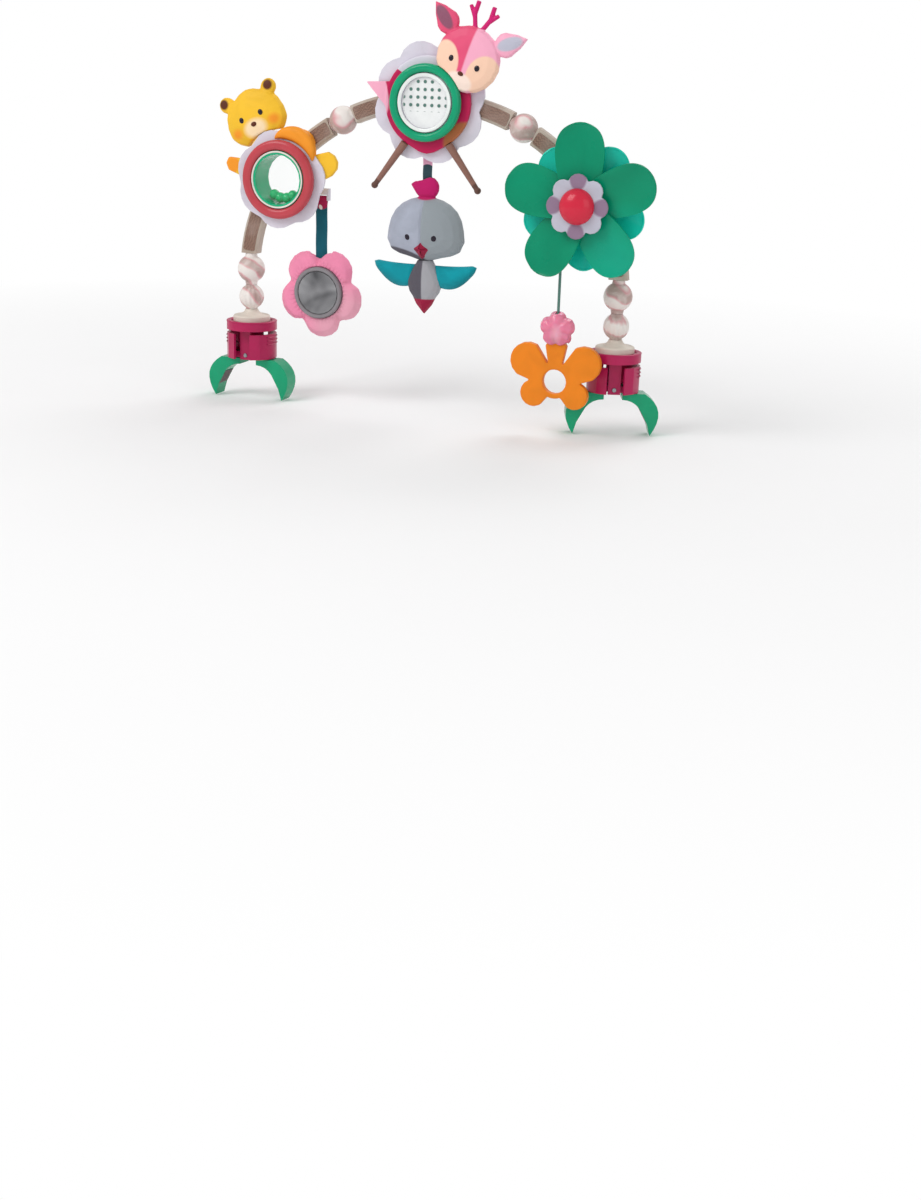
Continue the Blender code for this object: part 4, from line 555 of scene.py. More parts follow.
def strung(points, radius, smooth):
    """A round line through points."""
    line = bpy.data.curves.new("line", "CURVE")
    line.dimensions = "3D"
    line.bevel_depth = radius
    line.bevel_resolution = smooth
    line.use_fill_caps = True
    spline = line.splines.new("POLY")
    spline.points.add(len(points) - 1)
    for spot, point in zip(spline.points, points):
        spot.co = (*point, 1)
    return line


def wire(points, radius, place):
    """A round wire through points, as a mesh."""
    bm = bmesh.new()
    bm.from_mesh(bpy.data.objects.new("wire", strung(points, radius, 3)).to_mesh())
    return settled(bm, place, 0.000001)


def loop_ribbon(name, rod, length, half_width, material, body):
    """A ribbon looped over its rod, sewn below it and hanging to its toy."""
    across, top = rod
    arc = [(-ROD_BEND * cos(a), top + ROD_BEND * sin(a)) for a in (pi * i / 8 for i in range(9))]
    low = top - SEWN_DROP
    back = [(-0.0005, low), (-0.0008, top - 0.006), (-0.0017, top - 0.003)]
    front = [(0.0017, top - 0.003), (0.0008, top - 0.006), (0.0004, low)]
    fall = [(0.0002 + 0.0003 * sin(i * 0.9), low - (length - 0.0045) * i / 14)
            for i in range(1, 15)]
    line = back + arc + front + fall
    bm = bmesh.new()
    row = [bm.verts.new((half_width * (i / 3 - 1), -line[0][0], line[0][1])) for i in range(7)]
    edges = [bm.edges.new(pair) for pair in zip(row, row[1:])]
    for start, end in zip(line, line[1:]):
        grown = bmesh.ops.extrude_edge_only(bm, edges=edges)["geom"]
        edges = only(BMEdge, grown)
        bmesh.ops.translate(bm, verts=only(BMVert, grown),
                            vec=(0, start[0] - end[0], end[1] - start[1]))
    bm = thickened(settled(bm), 0.0008, moved(across, 0, 0))
    item = piece(name, bm, material, body, body, 50)


def bump_at(value, width):
    """1 at nothing, falling smoothly to 0 over a width."""
    return exp(-(value / width) ** 2)


def valley(x, z, phase):
    """A point's reach, and its angle from the nearest valley between five petals."""
    gap = (atan2(z, x) - phase) % PETAL_TURN
    return hypot(x, z), min(gap, PETAL_TURN - gap)


def drawn(point, centre, share):
    """Moves a point towards or away from a centre, as seen from the front."""
    point.x = centre[0] + (point.x - centre[0]) * share
    point.z = centre[1] + (point.z - centre[1]) * share


class ArchOperator:
    """What every arch operator shares."""
    bl_options = {"REGISTER"}

    def execute(self, context):
        self.build(context.scene.arch_colours, context.scene.arch_sizes)
        return {"FINISHED"}


# Stage

def white_where_seen(tree, share=1.0):
    """1 for the camera and for clear views, times a share: the backdrop is white there."""
    path = add_node(tree, "LightPath").outputs
    rays = {0: path["Is Camera Ray"], 1: path["Is Transmission Ray"]}
    either = add_node(tree, "Math", rays, operation="MAXIMUM").outputs[0]
    return add_node(tree, "Math", {0: either, 1: share}, operation="MULTIPLY").outputs[0]


class ARCH_OT_stage(ArchOperator, Operator):
    """Set the floor, the studio light and the camera"""
    bl_idname = "play_arch.stage"
    bl_label = "Stage"

    def build(self, colours, sizes):
        scene = bpy.context.scene
        scene.view_settings.view_transform = "Standard"
        self.floor(colours)
        self.light(scene)
        scene.camera = self.camera()

    def floor(self, colours):
        """A pale floor that curves up behind the arch."""
        bm = bmesh.new()
        bmesh.ops.create_grid(bm, x_segments=2, y_segments=60, size=4)
        for vertex in bm.verts:
            vertex.co.z = FLOOR_LEVEL + 0.55 * max(0.0, vertex.co.y - 1.6) ** 2
        floor = linked("floor", meshed("floor", bm))
        floor.data.shade_smooth()
        paper = colours.floor
        shader = Shader("floor_paper", specular_ior_level=0.1)
        tone = shader.mottled(paper, darker(paper, 0.985), 3, 3.0, 0.0, (0.3, 0.7))
        floor.data.materials.append(shader.finish(tone, 0.75, 0.04, 0.03, 300))
        away = shader.vector("LENGTH", shader.place)
        seen = white_where_seen(shader.tree, shader.span(away, 0.32, 1.1))
        glow = shader.node("Emission", {"Color": (1, 1, 1, 1), "Strength": 1.0})
        blend = shader.node("MixShader", {0: seen, 1: shader.out.outputs[0], 2: glow.outputs[0]})
        surface = shader.tree.nodes["Material Output"].inputs["Surface"]
        shader.tree.links.new(blend.outputs[0], surface)

    def light(self, scene):
        """A soft white surround and three lamps aimed at the arch."""
        world = bpy.data.worlds.new("studio")
        world.use_nodes = True
        tree = world.node_tree
        glow = tree.nodes["Background"].inputs
        glow["Color"].default_value = (1.0, 0.995, 0.985, 1)
        inputs = {"Value": white_where_seen(tree), "To Min": 0.58, "To Max": 1.0}
        tree.links.new(add_node(tree, "MapRange", inputs).outputs[0], glow["Strength"])
        scene.world = world
        for name, place, size, power in (
                ("key", (-1.3, -1.7, 1.9), 1.4, 33), ("fill", (1.9, -1.5, 0.9), 1.6, 8),
                ("rim", (0.4, 1.3, 1.7), 1.2, 12)):
            lamp = bpy.data.lights.new(name, "AREA")
            lamp.size = size
            lamp.energy = power
            item = linked(name, lamp)
            item.location = place
            aim = Vector((0, 0, 0.16)) - Vector(place)
            item.rotation_euler = aim.to_track_quat("-Z", "Y").to_euler()

    def camera(self):
        """The camera where the photograph's stood, with its slight roll."""
        yaw, pitch, roll = (radians(a) for a in (18.86, 18.0, 1.88))
        lens = bpy.data.cameras.new("camera")
        lens.lens = 50
        lens.sensor_width = 36
        lens.clip_start = 0.01
        camera = linked("camera", lens)
        camera.matrix_world = (moved(0.5833, -1.5755, 0.325) @ turned(yaw)
                               @ turned(pi / 2 - pitch, "X") @ turned(roll))
        return camera


# Bars, beads and feet

class ARCH_OT_bars(ArchOperator, Operator):
    """Make the moulded bars and their wood-look inlays"""
    bl_idname = "play_arch.bars"
    bl_label = "Bars and inlays"

    def build(self, colours, sizes):
        shell = moulded("bar_plastic", colours.bar, 0.5, colours.bar_shade, scale=24)
        for name, arc, start, end in BARS:
            refined(f"{name}_bar", shell, "arch", 0.0009)
            hand = -1 if name.startswith("left") else 1
            slope = -hand * radians((start + end) / 2)
            wood = grained(f"{name}_inlay", colours.inlay, colours.inlay_grain, slope)
            self.inlay(name, arc, radians(start), radians(end), hand, wood, sizes)

    def inlay(self, name, arc, start, end, hand, material, sizes):
        """A thin plate with rounded corners along a bar's front."""
        (middle, up), radius = arc
        half = BAR_HALF - sizes.inlay_inset
        bm = bmesh.new()
        ends = [bm.verts.new((hand * (middle + r * cos(start)), -INLAY_OUT, up + r * sin(start)))
                for r in (radius - half, radius + half)]
        bmesh.ops.spin(bm, geom=[*ends, bm.edges.new(ends)], cent=(hand * middle, 0, up),
                       axis=(0, -1, 0), angle=hand * (end - start), steps=14)
        corners = [v for v in bm.verts if len(v.link_edges) == 2]
        bmesh.ops.bevel(bm, geom=corners, offset=0.0022, segments=4, profile=0.5,
                        affect="VERTICES", material=-1)
        bm = thickened(settled(bm), 0.0007)
        piece(f"{name}_inlay", bm, material, "arch", angle=30)


def bead_line(radius, height, bore):
    """A bead's closed outline: a bore, flat hubs and a full belly."""
    half, rim = height / 2, asin(BEAD_HUB / radius)
    hubs = [(bore, half), (BEAD_HUB - 0.0006, half)]
    angles = [rim + (pi - 2 * rim) * i / 16 for i in range(17)]
    belly = [(radius * sin(a), radius * cos(a)) for a in angles]
    return hubs + belly + [(r, -z) for r, z in reversed(hubs)]


class ARCH_OT_beads(ArchOperator, Operator):
    """Make the swirled beads, with fluted lower beads"""
    bl_idname = "play_arch.beads"
    bl_label = "Beads"

    def build(self, colours, sizes):
        tones = colours.bead_white, colours.bead_pink, colours.bead_taupe
        (middle, up), reach = TOP_ARC
        for side, hand in SIDES:
            for level, low, radius, height in (("lower", 0.0128, 0.0128, 0.0244),
                                               ("upper", 0.0375, 0.014, 0.032)):
                place = moved(hand * HALF_SPAN, 0, FOOT_LEVEL + low + height / 2)
                bm = lathed(bead_line(radius, height, 0.0048), place, 72, True)
                if level == "lower":
                    self.flute(bm, hand * HALF_SPAN, radius, sizes.flute)
                skin = swirled(f"{side}_{level}_swirl", *tones, 0.03 * hand + low, 0.4 * hand)
                name = f"{side}_{level}_bead"
                piece(f"{name}_ball", bm, skin, name, name)
            place = (moved(hand * (middle + reach * cos(TOP_BEAD_ANGLE)), 0,
                           up + reach * sin(TOP_BEAD_ANGLE))
                     @ turned(-hand * TOP_BEAD_ANGLE, "Y"))
            bm = lathed(bead_line(0.0137, 0.027, 0.001), place, closed=True)
            skin = swirled(f"{side}_top_swirl", *tones, 0.11 * hand, 1.1)
            piece(f"{side}_top_bead_ball", bm, skin, "arch", f"{side}_top_bead")

    def flute(self, bm, centre, radius, depth):
        """Draws 14 flutes into a bead's belly."""
        for vertex in bm.verts:
            across, deep = vertex.co.x - centre, vertex.co.y
            reach = hypot(across, deep)
            if reach > radius * 0.6:
                share = 1 - depth * (1 - cos(14 * atan2(deep, across))) / 2 / reach
                vertex.co.x = centre + across * share
                vertex.co.y = deep * share


class ARCH_OT_feet(ArchOperator, Operator):
    """Make the flanged feet that the bars stand on"""
    bl_idname = "play_arch.feet"
    bl_label = "Feet"

    def build(self, colours, sizes):
        outline = [
            (0, 0.0785), (0.0041, 0.0785), (0.0045, 0.0781), (0.0045, 0.0125), (0.0062, 0.0125),
            (0.0067, 0.012), (0.0074, 0.0104), (0.009, 0.0086), (0.0112, 0.0077),
            (0.0118, 0.0071), (0.0162, 0.0061), (0.0168, 0.0065), (0.0184, 0.006),
            (0.0191, 0.005), (0.0191, 0.0005), (0.0186, 0), (0.007, 0), (0.007, -0.0086),
            (0.01, -0.0086), (0.007, -0.0111), (0, -0.0111)]
        skin = moulded("foot_plastic", colours.cream)
        for side, hand in SIDES:
            bm = lathed(outline, moved(hand * HALF_SPAN, 0, FOOT_LEVEL), 72)
            piece(f"{side}_foot_turning", bm, skin, "arch", f"{side}_foot", 30)


# Clips

class ARCH_OT_clips(ArchOperator, Operator):
    """Make the clips: cups, levers, claws with pads, pins and springs"""
    bl_idname = "play_arch.clips"
    bl_label = "Clips"

    def build(self, colours, sizes):
        shell = moulded("clip_plastic", colours.magenta, 0.34, coat_weight=0.15,
                        coat_roughness=0.2)
        green = glossy("claw_plastic", colours.claw, 0.24)
        soft = moulded("pad_rubber", colours.pad, 0.8, bump=0.4)
        bright = metal("clip_steel", colours.steel)
        rim = [(0.0212, -0.0003), (0.0262, -0.0003), (0.0262, 0.0006), (0.0258, 0.001),
               (0.0246, 0.0012), (0.0228, 0.0011), (0.0218, 0.0008), (0.0212, 0.0002)]
        coil = [self.coiled(angle) for angle in range(8, int(360 * SPRING_TURNS) - 7, 10)]
        leg = [(SPRING_REACH, -SPRING_PITCH * SPRING_TURNS / 2, SPRING_RISE),
               *(self.coiled(angle) for angle in range(0, 61, 10))]
        for side, hand in SIDES:
            clip = f"{side}_clip"
            swivel = (moved(hand * HALF_SPAN, 0, FOOT_LEVEL)
                      @ turned(radians(20) if hand > 0 else 0.0))
            pin = swivel @ moved(0, 0, -PIN_DROP)
            refined(f"{clip}_body", shell, clip, 0.0006)
            piece(f"{clip}_rim", lathed(rim, swivel, 72, True), shell, clip)
            refined(f"{clip}_pin", bright, clip, 0.0002)
            piece(f"{side}_spring_coil", wire(coil, SPRING_WIRE, pin), bright, clip,
                  f"{clip}_spring")
            for jaw, way in (("inner", -hand), ("outer", hand)):
                name = f"{side}_{jaw}"
                body = f"{name}_jaw"
                place = pin @ turned(0 if way > 0 else pi)
                refined(f"{name}_lever", shell, body, 0.0007)
                refined(f"{name}_claw", green, body, 0.0014)
                piece(f"{name}_spring_leg", wire(leg, SPRING_WIRE * 0.96, place), bright, body)
                piece(f"{name}_pad", self.pad(place), soft, body)
                piece(f"{name}_ribs", self.ribs(place), shell, body, angle=60)

    def coiled(self, angle):
        """A point of the spring's coil, by its angle in degrees from the coil's start."""
        turn = -radians(angle)
        return (SPRING_RADIUS * cos(turn), SPRING_PITCH * (angle / 360 - SPRING_TURNS / 2),
                SPRING_RADIUS * sin(turn))

    def pad(self, place):
        """A thin ribbed pad on the claw's flat inner face."""
        bm = bmesh.new()
        bmesh.ops.create_cube(bm, size=1)
        along = [e for e in bm.edges if abs((e.verts[0].co - e.verts[1].co).x) > 0.5]
        bmesh.ops.subdivide_edges(bm, edges=along, cuts=15)
        for vertex in bm.verts:
            rib = vertex.co.z > 0 and round((vertex.co.x + 0.5) * 16) % 2
            vertex.co *= Vector((PAD_LENGTH, 0.017, 0.0007))
            vertex.co.z -= 0.00035 if rib else 0
        slope = turned(atan2(0.0145, 0.008), "Y") @ turned(pi, "X")
        return settled(bm, place @ moved(0.0305, 0, -0.02625) @ slope)

    def ribs(self, place):
        """Three low finger ribs across the lever panel."""
        parts = []
        for height in (0.0125, 0.0161, 0.0197):
            line = [(0.02595, height - 0.0008), (0.0266, height), (0.02595, height + 0.0008)]
            bm = spun(line, radians(52), 16, start=radians(-26))
            bmesh.ops.holes_fill(bm, edges=bm.edges, sides=0)
            parts.append(settled(bm, place))
        return gathered(parts)


# Ring units

def spin_ring(name, unit, outer, bore, material, body, node):
    """A ring that spins on its collar: a full round front and a flatter back."""
    middle, half = (outer + bore) / 2, (outer - bore) / 2
    outline = []
    for i in range(28):
        out, up = (copysign(abs(value) ** 0.8, value)
                   for value in (cos(FULL_TURN * i / 28), sin(FULL_TURN * i / 28)))
        outline.append((middle + half * out, RING_BACK + RING_DEPTH / 2 * (1 + up)))
    piece(name, lathed(outline, on_unit(unit), 96, True), material, body, node)


class ARCH_OT_cub_unit(ArchOperator, Operator):
    """Make the cub's housing, rattle chamber, windows and spin ring"""
    bl_idname = "play_arch.cub_unit"
    bl_label = "Cub unit"

    def build(self, colours, sizes):
        refined("cub_housing", moulded("cub_plate_plastic", colours.lavender, 0.36), "arch")
        refined("cub_chamber", glossy("chamber_plastic", colours.chamber, 0.2), "arch", 0.0004)
        pane = clear("chamber_window", (0.9, 0.98, 0.95), 0.025)
        for name in ("cub_front_window", "cub_back_window"):
            refined(name, pane, "arch", 0.0002)
        spin_ring("cub_ring", CUB, 0.0385, 0.0284, glossy("coral_plastic", colours.coral, 0.2),
                  "cub_ring", "cub_spin_ring")
        lip = [(0.0262, 0.0233), (0.0276, 0.0233), (0.0279, 0.0238), (0.0277, 0.0244),
               (0.0268, 0.0245), (0.0262, 0.024)]
        piece("cub_lip", lathed(lip, on_unit(CUB), 72, True),
              moulded("lip_plastic", paler(colours.cream, 0.3)), "arch")
        balls = [rounded((0.0052,) * 3, on_unit(CUB, 0.0187 * cos(a), 0.0187 * sin(a), 0.0075), 20)
                 for a in (radians(22 * i - 123) for i in range(4))]
        piece("cub_rattle_balls", gathered(balls),
              glossy("rattle_plastic", colours.rattle, 0.25), "cub_rattle", "cub_rattle")


class Face:
    """Where a figure's head is, so that its patches and features land on it."""

    def __init__(self, unit, x, y, out, tilt, radii):
        self.unit, self.x, self.y, self.out, self.tilt, self.radii = unit, x, y, out, tilt, radii

    def at(self, x, y):
        """Head coordinates as the unit's."""
        return (self.x + x * cos(self.tilt) - y * sin(self.tilt),
                self.y + x * sin(self.tilt) + y * cos(self.tilt))

    def inside(self, point):
        """A point of the arch in head coordinates, seen from the front."""
        x, y = point.x - self.unit[0] - self.x, point.z - self.unit[1] - self.y
        return (x * cos(self.tilt) + y * sin(self.tilt), y * cos(self.tilt) - x * sin(self.tilt))

    def spot(self, x, y, across, high, colour, edge=0.1, turn=0.0, through=False):
        """A patch of colour in head coordinates, on the face or right through the head."""
        return place_spot(self.unit, *self.at(x, y), across, high, colour, edge,
                          self.tilt + turn, 3.0, None if through else -self.out)

    def bead(self, x, y, across, high, deep):
        """A rounded button that stands out of the face."""
        width, height, depth = self.radii
        inside = max(0.0, 1 - (x / width) ** 2 - (y / height) ** 2)
        out = self.out + depth * sqrt(inside) ** 0.75 - deep * 0.3
        return rounded((across, high, deep), on_unit(self.unit, *self.at(x, y), out, self.tilt))

    def features(self, name, colours, eye_x, eye_y, eye, nose_y, nose):
        """Two dot eyes and a nose."""
        dark = glossy(f"{name}_eye_gloss", colours.dark, 0.12)
        eyes = [self.bead(way * eye_x, eye_y, eye, eye * 1.12, eye * 0.55) for way in WAYS]
        piece(f"{name}_eyes", gathered(eyes), dark, "arch")
        piece(f"{name}_nose", self.bead(0, nose_y, nose, nose * 0.72, nose * 0.6),
              moulded(f"{name}_nose_plastic", colours.brown, 0.35), "arch")


class ARCH_OT_cub_figure(ArchOperator, Operator):
    """Make the cub's head and body with a plain face"""
    bl_idname = "play_arch.cub_figure"
    bl_label = "Cub figure"

    def build(self, colours, sizes):
        head = Face(CUB, -0.0315, 0.058, 0.0048, radians(24), (0.0325, 0.029, 0.0115))
        middle = (CUB[0] + head.x, CUB[1] + head.y)
        marks = [head.spot(0, -0.0105, 0.012, 0.0085, paler(colours.yellow, 0.45), 0.25)]
        marks += [head.spot(way * 0.0262, 0.0236, 0.0048, 0.0048, colours.brown, 0.2)
                  for way in WAYS]
        marks += [head.spot(way * 0.0215, -0.009, 0.0055, 0.0045, colours.orange, 0.5)
                  for way in WAYS]
        fur = moulded("cub_head_plastic", colours.yellow, 0.55, patches=marks)

        def cheeks(point):
            x, y = head.inside(point)
            low = bump_at(abs(x) - 0.026, 0.011) * bump_at(y + 0.01, 0.01)
            brow = bump_at(abs(x) - 0.016, 0.01) * bump_at(y - 0.026, 0.007)
            drawn(point, middle, 1 + 0.075 * low - 0.05 * brow)

        softened("cub_head", "cub_head_form", fur, "arch", 0.0009, 5, cheeks)
        head.features("cub", colours, 0.0112, 0.0015, 0.0026, -0.0065, 0.0032)
        spots = [place_spot(CUB, 0.0215, 0.0385, 0.0175, 0.015, colours.orange, 0.06),
                 place_spot(CUB, -0.0555, 0.0125, 0.0085, 0.0105, colours.orange, 0.1)]
        coat = moulded("cub_body_plastic", colours.yellow, 0.5, patches=spots)
        softened("cub_body", "cub_body_form", coat, "arch", 0.0008, 3)
        piece("cub_hip_front", self.hip(), moulded("cub_hip_plastic", colours.orange, 0.5),
              "arch", angle=50)

    def hip(self):
        """The hip's front, which wraps over the plate beside the spin ring."""
        bm = bmesh.new()
        bmesh.ops.create_grid(bm, x_segments=32, y_segments=12, size=1)
        for vertex in bm.verts:
            along, across = vertex.co.x, vertex.co.y
            reach = 0.0155 * max(0.02, cos(along * pi / 2)) ** 0.6
            angle, radius = radians(64 + 35 * along), 0.0392 + reach * (across + 1) / 2
            full = (1 - abs(across) ** 3) * (1 - abs(along) ** 4)
            vertex.co = (radius * cos(angle), radius * sin(angle), 0.0154 + 0.004 * full ** 0.6)
        grown = bmesh.ops.extrude_face_region(bm, geom=bm.faces)["geom"]
        for vertex in only(BMVert, grown):
            vertex.co.z = 0.0126
        return settled(bm, on_unit(CUB))


class ARCH_OT_fawn_unit(ArchOperator, Operator):
    """Make the fawn's housing, dotted disc and spin ring"""
    bl_idname = "play_arch.fawn_unit"
    bl_label = "Fawn unit"

    def build(self, colours, sizes):
        refined("deer_housing", moulded("fawn_plate_plastic", colours.lavender, 0.36), "arch")
        pane = clear("dotted_disc", (0.94, 0.96, 0.955), 0.7, (0.1, 0.2, 0.17), sizes.dot_pitch)
        refined("deer_window", pane, "arch", 0.0002)
        spin_ring("fawn_ring", FAWN, 0.0362, 0.0279,
                  glossy("fawn_ring_plastic", colours.ring, 0.2), "deer_ring", "deer_spin_ring")
        lip = [(0.0238, 0.0233), (0.027, 0.0233), (0.0272, 0.0238), (0.0268, 0.0244),
               (0.0246, 0.0244), (0.0238, 0.0238)]
        piece("fawn_lip", lathed(lip, on_unit(FAWN), 72, True),
              glossy("fawn_lip_plastic", (0.86, 0.9, 0.88), 0.25), "arch")


class ARCH_OT_fawn_figure(ArchOperator, Operator):
    """Make the fawn's body, tail, legs and head with a plain face"""
    bl_idname = "play_arch.fawn_figure"
    bl_label = "Fawn figure"

    def build(self, colours, sizes):
        light = colours.fawn_light
        marks = [
            place_spot(FAWN, -0.004, 0.05, 0.042, 0.03, colours.lavender, 0.01),
            place_spot(FAWN, -0.0555, 0.011, 0.0145, 0.03, light, 0.05, radians(20)),
            place_spot(FAWN, 0.033, -0.031, 0.019, 0.013, colours.haunch, 0.08, radians(40))]
        body = moulded("fawn_body_plastic", colours.fawn_body, 0.36, patches=marks)
        softened("deer_body", "fawn_body_form", body, "arch", 0.0007, 2)
        hoof = darker(colours.leg, 0.45)
        marks = [place_spot(FAWN, way * 0.0535, -0.0795, 0.0075, 0.0075, hoof, 0.1)
                 for way in WAYS]
        leg = moulded("fawn_leg_plastic", colours.leg, 0.5, patches=marks)
        for side, _ in SIDES:
            softened(f"deer_{side}_leg", f"fawn_{side}_leg_form", leg, "arch", 0.0006, 2)

        head = Face(FAWN, 0.0415, 0.0405, 0.0185, radians(-19), (0.0325, 0.0305, 0.0095))
        face, ears = colours.fawn_face, ((-1, (0.27, 0.09, 0.15)), (1, (0.5, 0.5, 0.6)))
        marks = [head.spot(0.3, 0, 0.3, 1.0, light, 0.003, through=True)]
        marks += [head.spot(way * 0.0195, -0.0085, 0.0145, 0.019, face, 0.05, -way * 0.25)
                  for way in WAYS]
        marks.append(head.spot(0, -0.021, 0.013, 0.0085, paler(face, 0.4), 0.12))
        marks += [head.spot(way * 0.0345, 0.0276, 0.0058, 0.0125, inner, 0.12,
                            -way * radians(55)) for way, inner in ears]
        marks.append(head.spot(0, 0.0475, 0.022, 0.0178, colours.antler, 0.02, through=True))
        skin = moulded("fawn_head_plastic", colours.fawn_deep, patches=marks)
        softened("deer_head", "fawn_head_form", skin, "arch", 0.0007, 3)
        head.features("fawn", colours, 0.0135, -0.0035, 0.0026, -0.0135, 0.003)


# Propeller

class ARCH_OT_propeller(ArchOperator, Operator):
    """Make the propeller's body, petals, rosette and dome"""
    bl_idname = "play_arch.propeller"
    bl_label = "Propeller"

    def build(self, colours, sizes):
        refined("prop_body", moulded("propeller_body_plastic", colours.cream, 0.44), "arch",
                0.0006)
        refined("prop_axle", metal("axle_steel", colours.steel), "arch", 0.0002)
        # Painted light: the front petals grow paler towards their lower right, in the rear petals'
        # green
        shine = place_spot(PROPELLER, 0.045, -0.05, 0.045, 0.045, colours.propeller_back, 0.95)
        front = self.plastic("front", colours.propeller, 0.3, [shine])
        # The rear petals' green carries painted light for light passing through the front petals
        rear = self.plastic("rear", colours.propeller_back, 0.32)
        hub = [(0.0043, 0.066), (0.0155, 0.066), (0.0165, 0.0652), (0.0165, 0.0528),
               (0.0158, 0.0523), (0.0043, 0.0523)]
        self.layer("front", 0.073, 0.0495, 0.06, 92.5, hub, front, sizes)
        hub = [(0.0043, 0.052), (0.0158, 0.052), (0.0165, 0.0512), (0.0165, 0.0434),
               (0.009, 0.0303), (0.0043, 0.0303)]
        self.layer("rear", 0.059, 0.04, 0.046, 56.5, hub, rear, sizes)
        marks = [place_spot(PROPELLER, 0.0262 * cos(a), 0.0262 * sin(a), 0.0125, 0.0088,
                            colours.mauve, 0.1, a, 0.2) for a in (pi / 2 * i for i in range(4))]
        refined("prop_rosette", moulded("rosette_plastic", colours.lilac, 0.45, patches=marks),
                "propeller", 0.0007)
        base = 0.0691
        dome = [(0.0165 * sin(a), base + 0.0105 * cos(a)) for a in (pi / 28 * i for i in range(15))]
        piece("dome_cap", lathed([*dome, (0, base)], on_unit(PROPELLER)),
              glossy("dome_plastic", colours.dome, 0.22), "propeller", "prop_dome")

    def plastic(self, name, colour, rough, patches=()):
        """A petal's satin plastic."""
        return moulded(f"{name}_petal_plastic", colour, rough, darker(colour, 0.86), patches,
                       scale=18, coat_weight=0.1, coat_roughness=0.15, specular_ior_level=0.15)

    def layer(self, name, reach, width, plane, phase, hub, material, sizes):
        """One ring of five dished petals on its hub."""
        parts = [lathed(hub, on_unit(PROPELLER), closed=True)]
        for number in range(5):
            bm = bmesh.new()
            bmesh.ops.create_grid(bm, x_segments=34, y_segments=16, size=1)
            for vertex in bm.verts:
                stretch = sin(vertex.co.x * pi / 2)
                along, across = (stretch + 1) / 2, vertex.co.y
                round_off = max(0.0, 1 - abs(stretch) ** 2.5) ** 0.4
                side = width / 2 * round_off * (1 - 0.3 * (1 - along) ** 1.4) * across
                cup = sizes.petal_cup * (across ** 2 * 0.7 - 0.3) * round_off * (1 + along) / 2
                fold = 0.0006 * bump_at(across, 0.1) * (1 - along) ** 0.5
                vertex.co = (0.004 + (reach - 0.004) * along, side, cup + fold + side * 0.122)
            bmesh.ops.remove_doubles(bm, verts=bm.verts, dist=0.00003)
            turn = radians(phase) + PETAL_TURN * number
            parts.append(thickened(bm, 0.0014, on_unit(PROPELLER, out=plane, turn=turn)))
        piece(f"{name}_petals", gathered(parts), material, "propeller", f"prop_{name}_petals", 45)


# Sewn toys

class ARCH_OT_flower_toy(ArchOperator, Operator):
    """Make the padded flower, its mirror and its ribbon"""
    bl_idname = "play_arch.flower_toy"
    bl_label = "Flower toy"

    def build(self, colours, sizes):
        def sew(point):
            x, z = point.x - FLOWER[0], point.z - FLOWER[1]
            reach, gap = valley(x, z, radians(-51))
            if reach < 0.0268:
                return
            off = gap * reach
            groove = sizes.seam * bump_at(off, 0.0026) * min(1.0, (reach - 0.026) / 0.006)
            pucker = 0.0005 * sin(atan2(z, x) * 45) * bump_at(reach - 0.0275, 0.004)
            puff = 0.0016 * bump_at(reach - 0.036, 0.007) * (1 - bump_at(off, 0.005))
            draw = bump_at(off, 0.0065) * min(1.0, (reach - 0.0268) / 0.006)
            drawn(point, FLOWER, 1 - 0.07 * draw)
            out = abs(point.y)
            out += (puff + pucker - groove) * min(1.0, out / 0.004)
            point.y = copysign(max(0.0004, out), point.y)

        # Painted shade: the flower's lower right turns a duller pink, where shade falls
        marks = [place_spot(FLOWER, 0.028, -0.03, 0.038, 0.036, colours.petal_painted_shade, 0.35)]
        fabric = cloth("petal_cloth", colours.petal, marks, darker(colours.petal, 0.93), bump=0.5)
        pad = softened("flower_toy", "flower_pad", fabric, "flower_toy", 0.0008, 3, sew)
        rim = [(0.0, 0.0075), (0.0216, 0.0075), (0.022, 0.0098), (0.0228, 0.0107),
               (0.0246, 0.0108), (0.0257, 0.0098), (0.0258, 0.0035), (0, 0.0035)]
        piece("mirror_bezel", lathed(rim, on_unit(FLOWER), 72),
              moulded("bezel_plastic", colours.bezel, 0.38), "flower_toy", "flower_bezel", 30)
        # Painted reflection: the mirror's metal takes a dark, mottled grey in place of the
        # surroundings that it reflects
        film = Shader("mirror_painted_reflection", metallic=1.0)
        tone = film.mottled((0.3, 0.3, 0.31), (0.07, 0.07, 0.075), 24, 2.0, 0.8, (0.35, 0.62))
        refined("flower_mirror", film.finish(tone, 0.12, 0.04, 0.05, 60), "flower_toy", 0.0002)
        rod = (FLOWER[0], FLOWER_ROD)
        marks = [place_spot(rod, 0, 0.001, 0.0105, 0.0125, colours.magenta, 0.05),
                 place_spot(rod, -0.001, -0.0095, 0.0018, 0.0026, (0.85, 0.83, 0.85), 0.1, 0.6)]
        strap = ribbon_cloth("teal_ribbon_cloth", colours.teal, marks)
        loop_ribbon("flower_ribbon", rod, 0.0632, 0.00615, strap, "flower_strap")


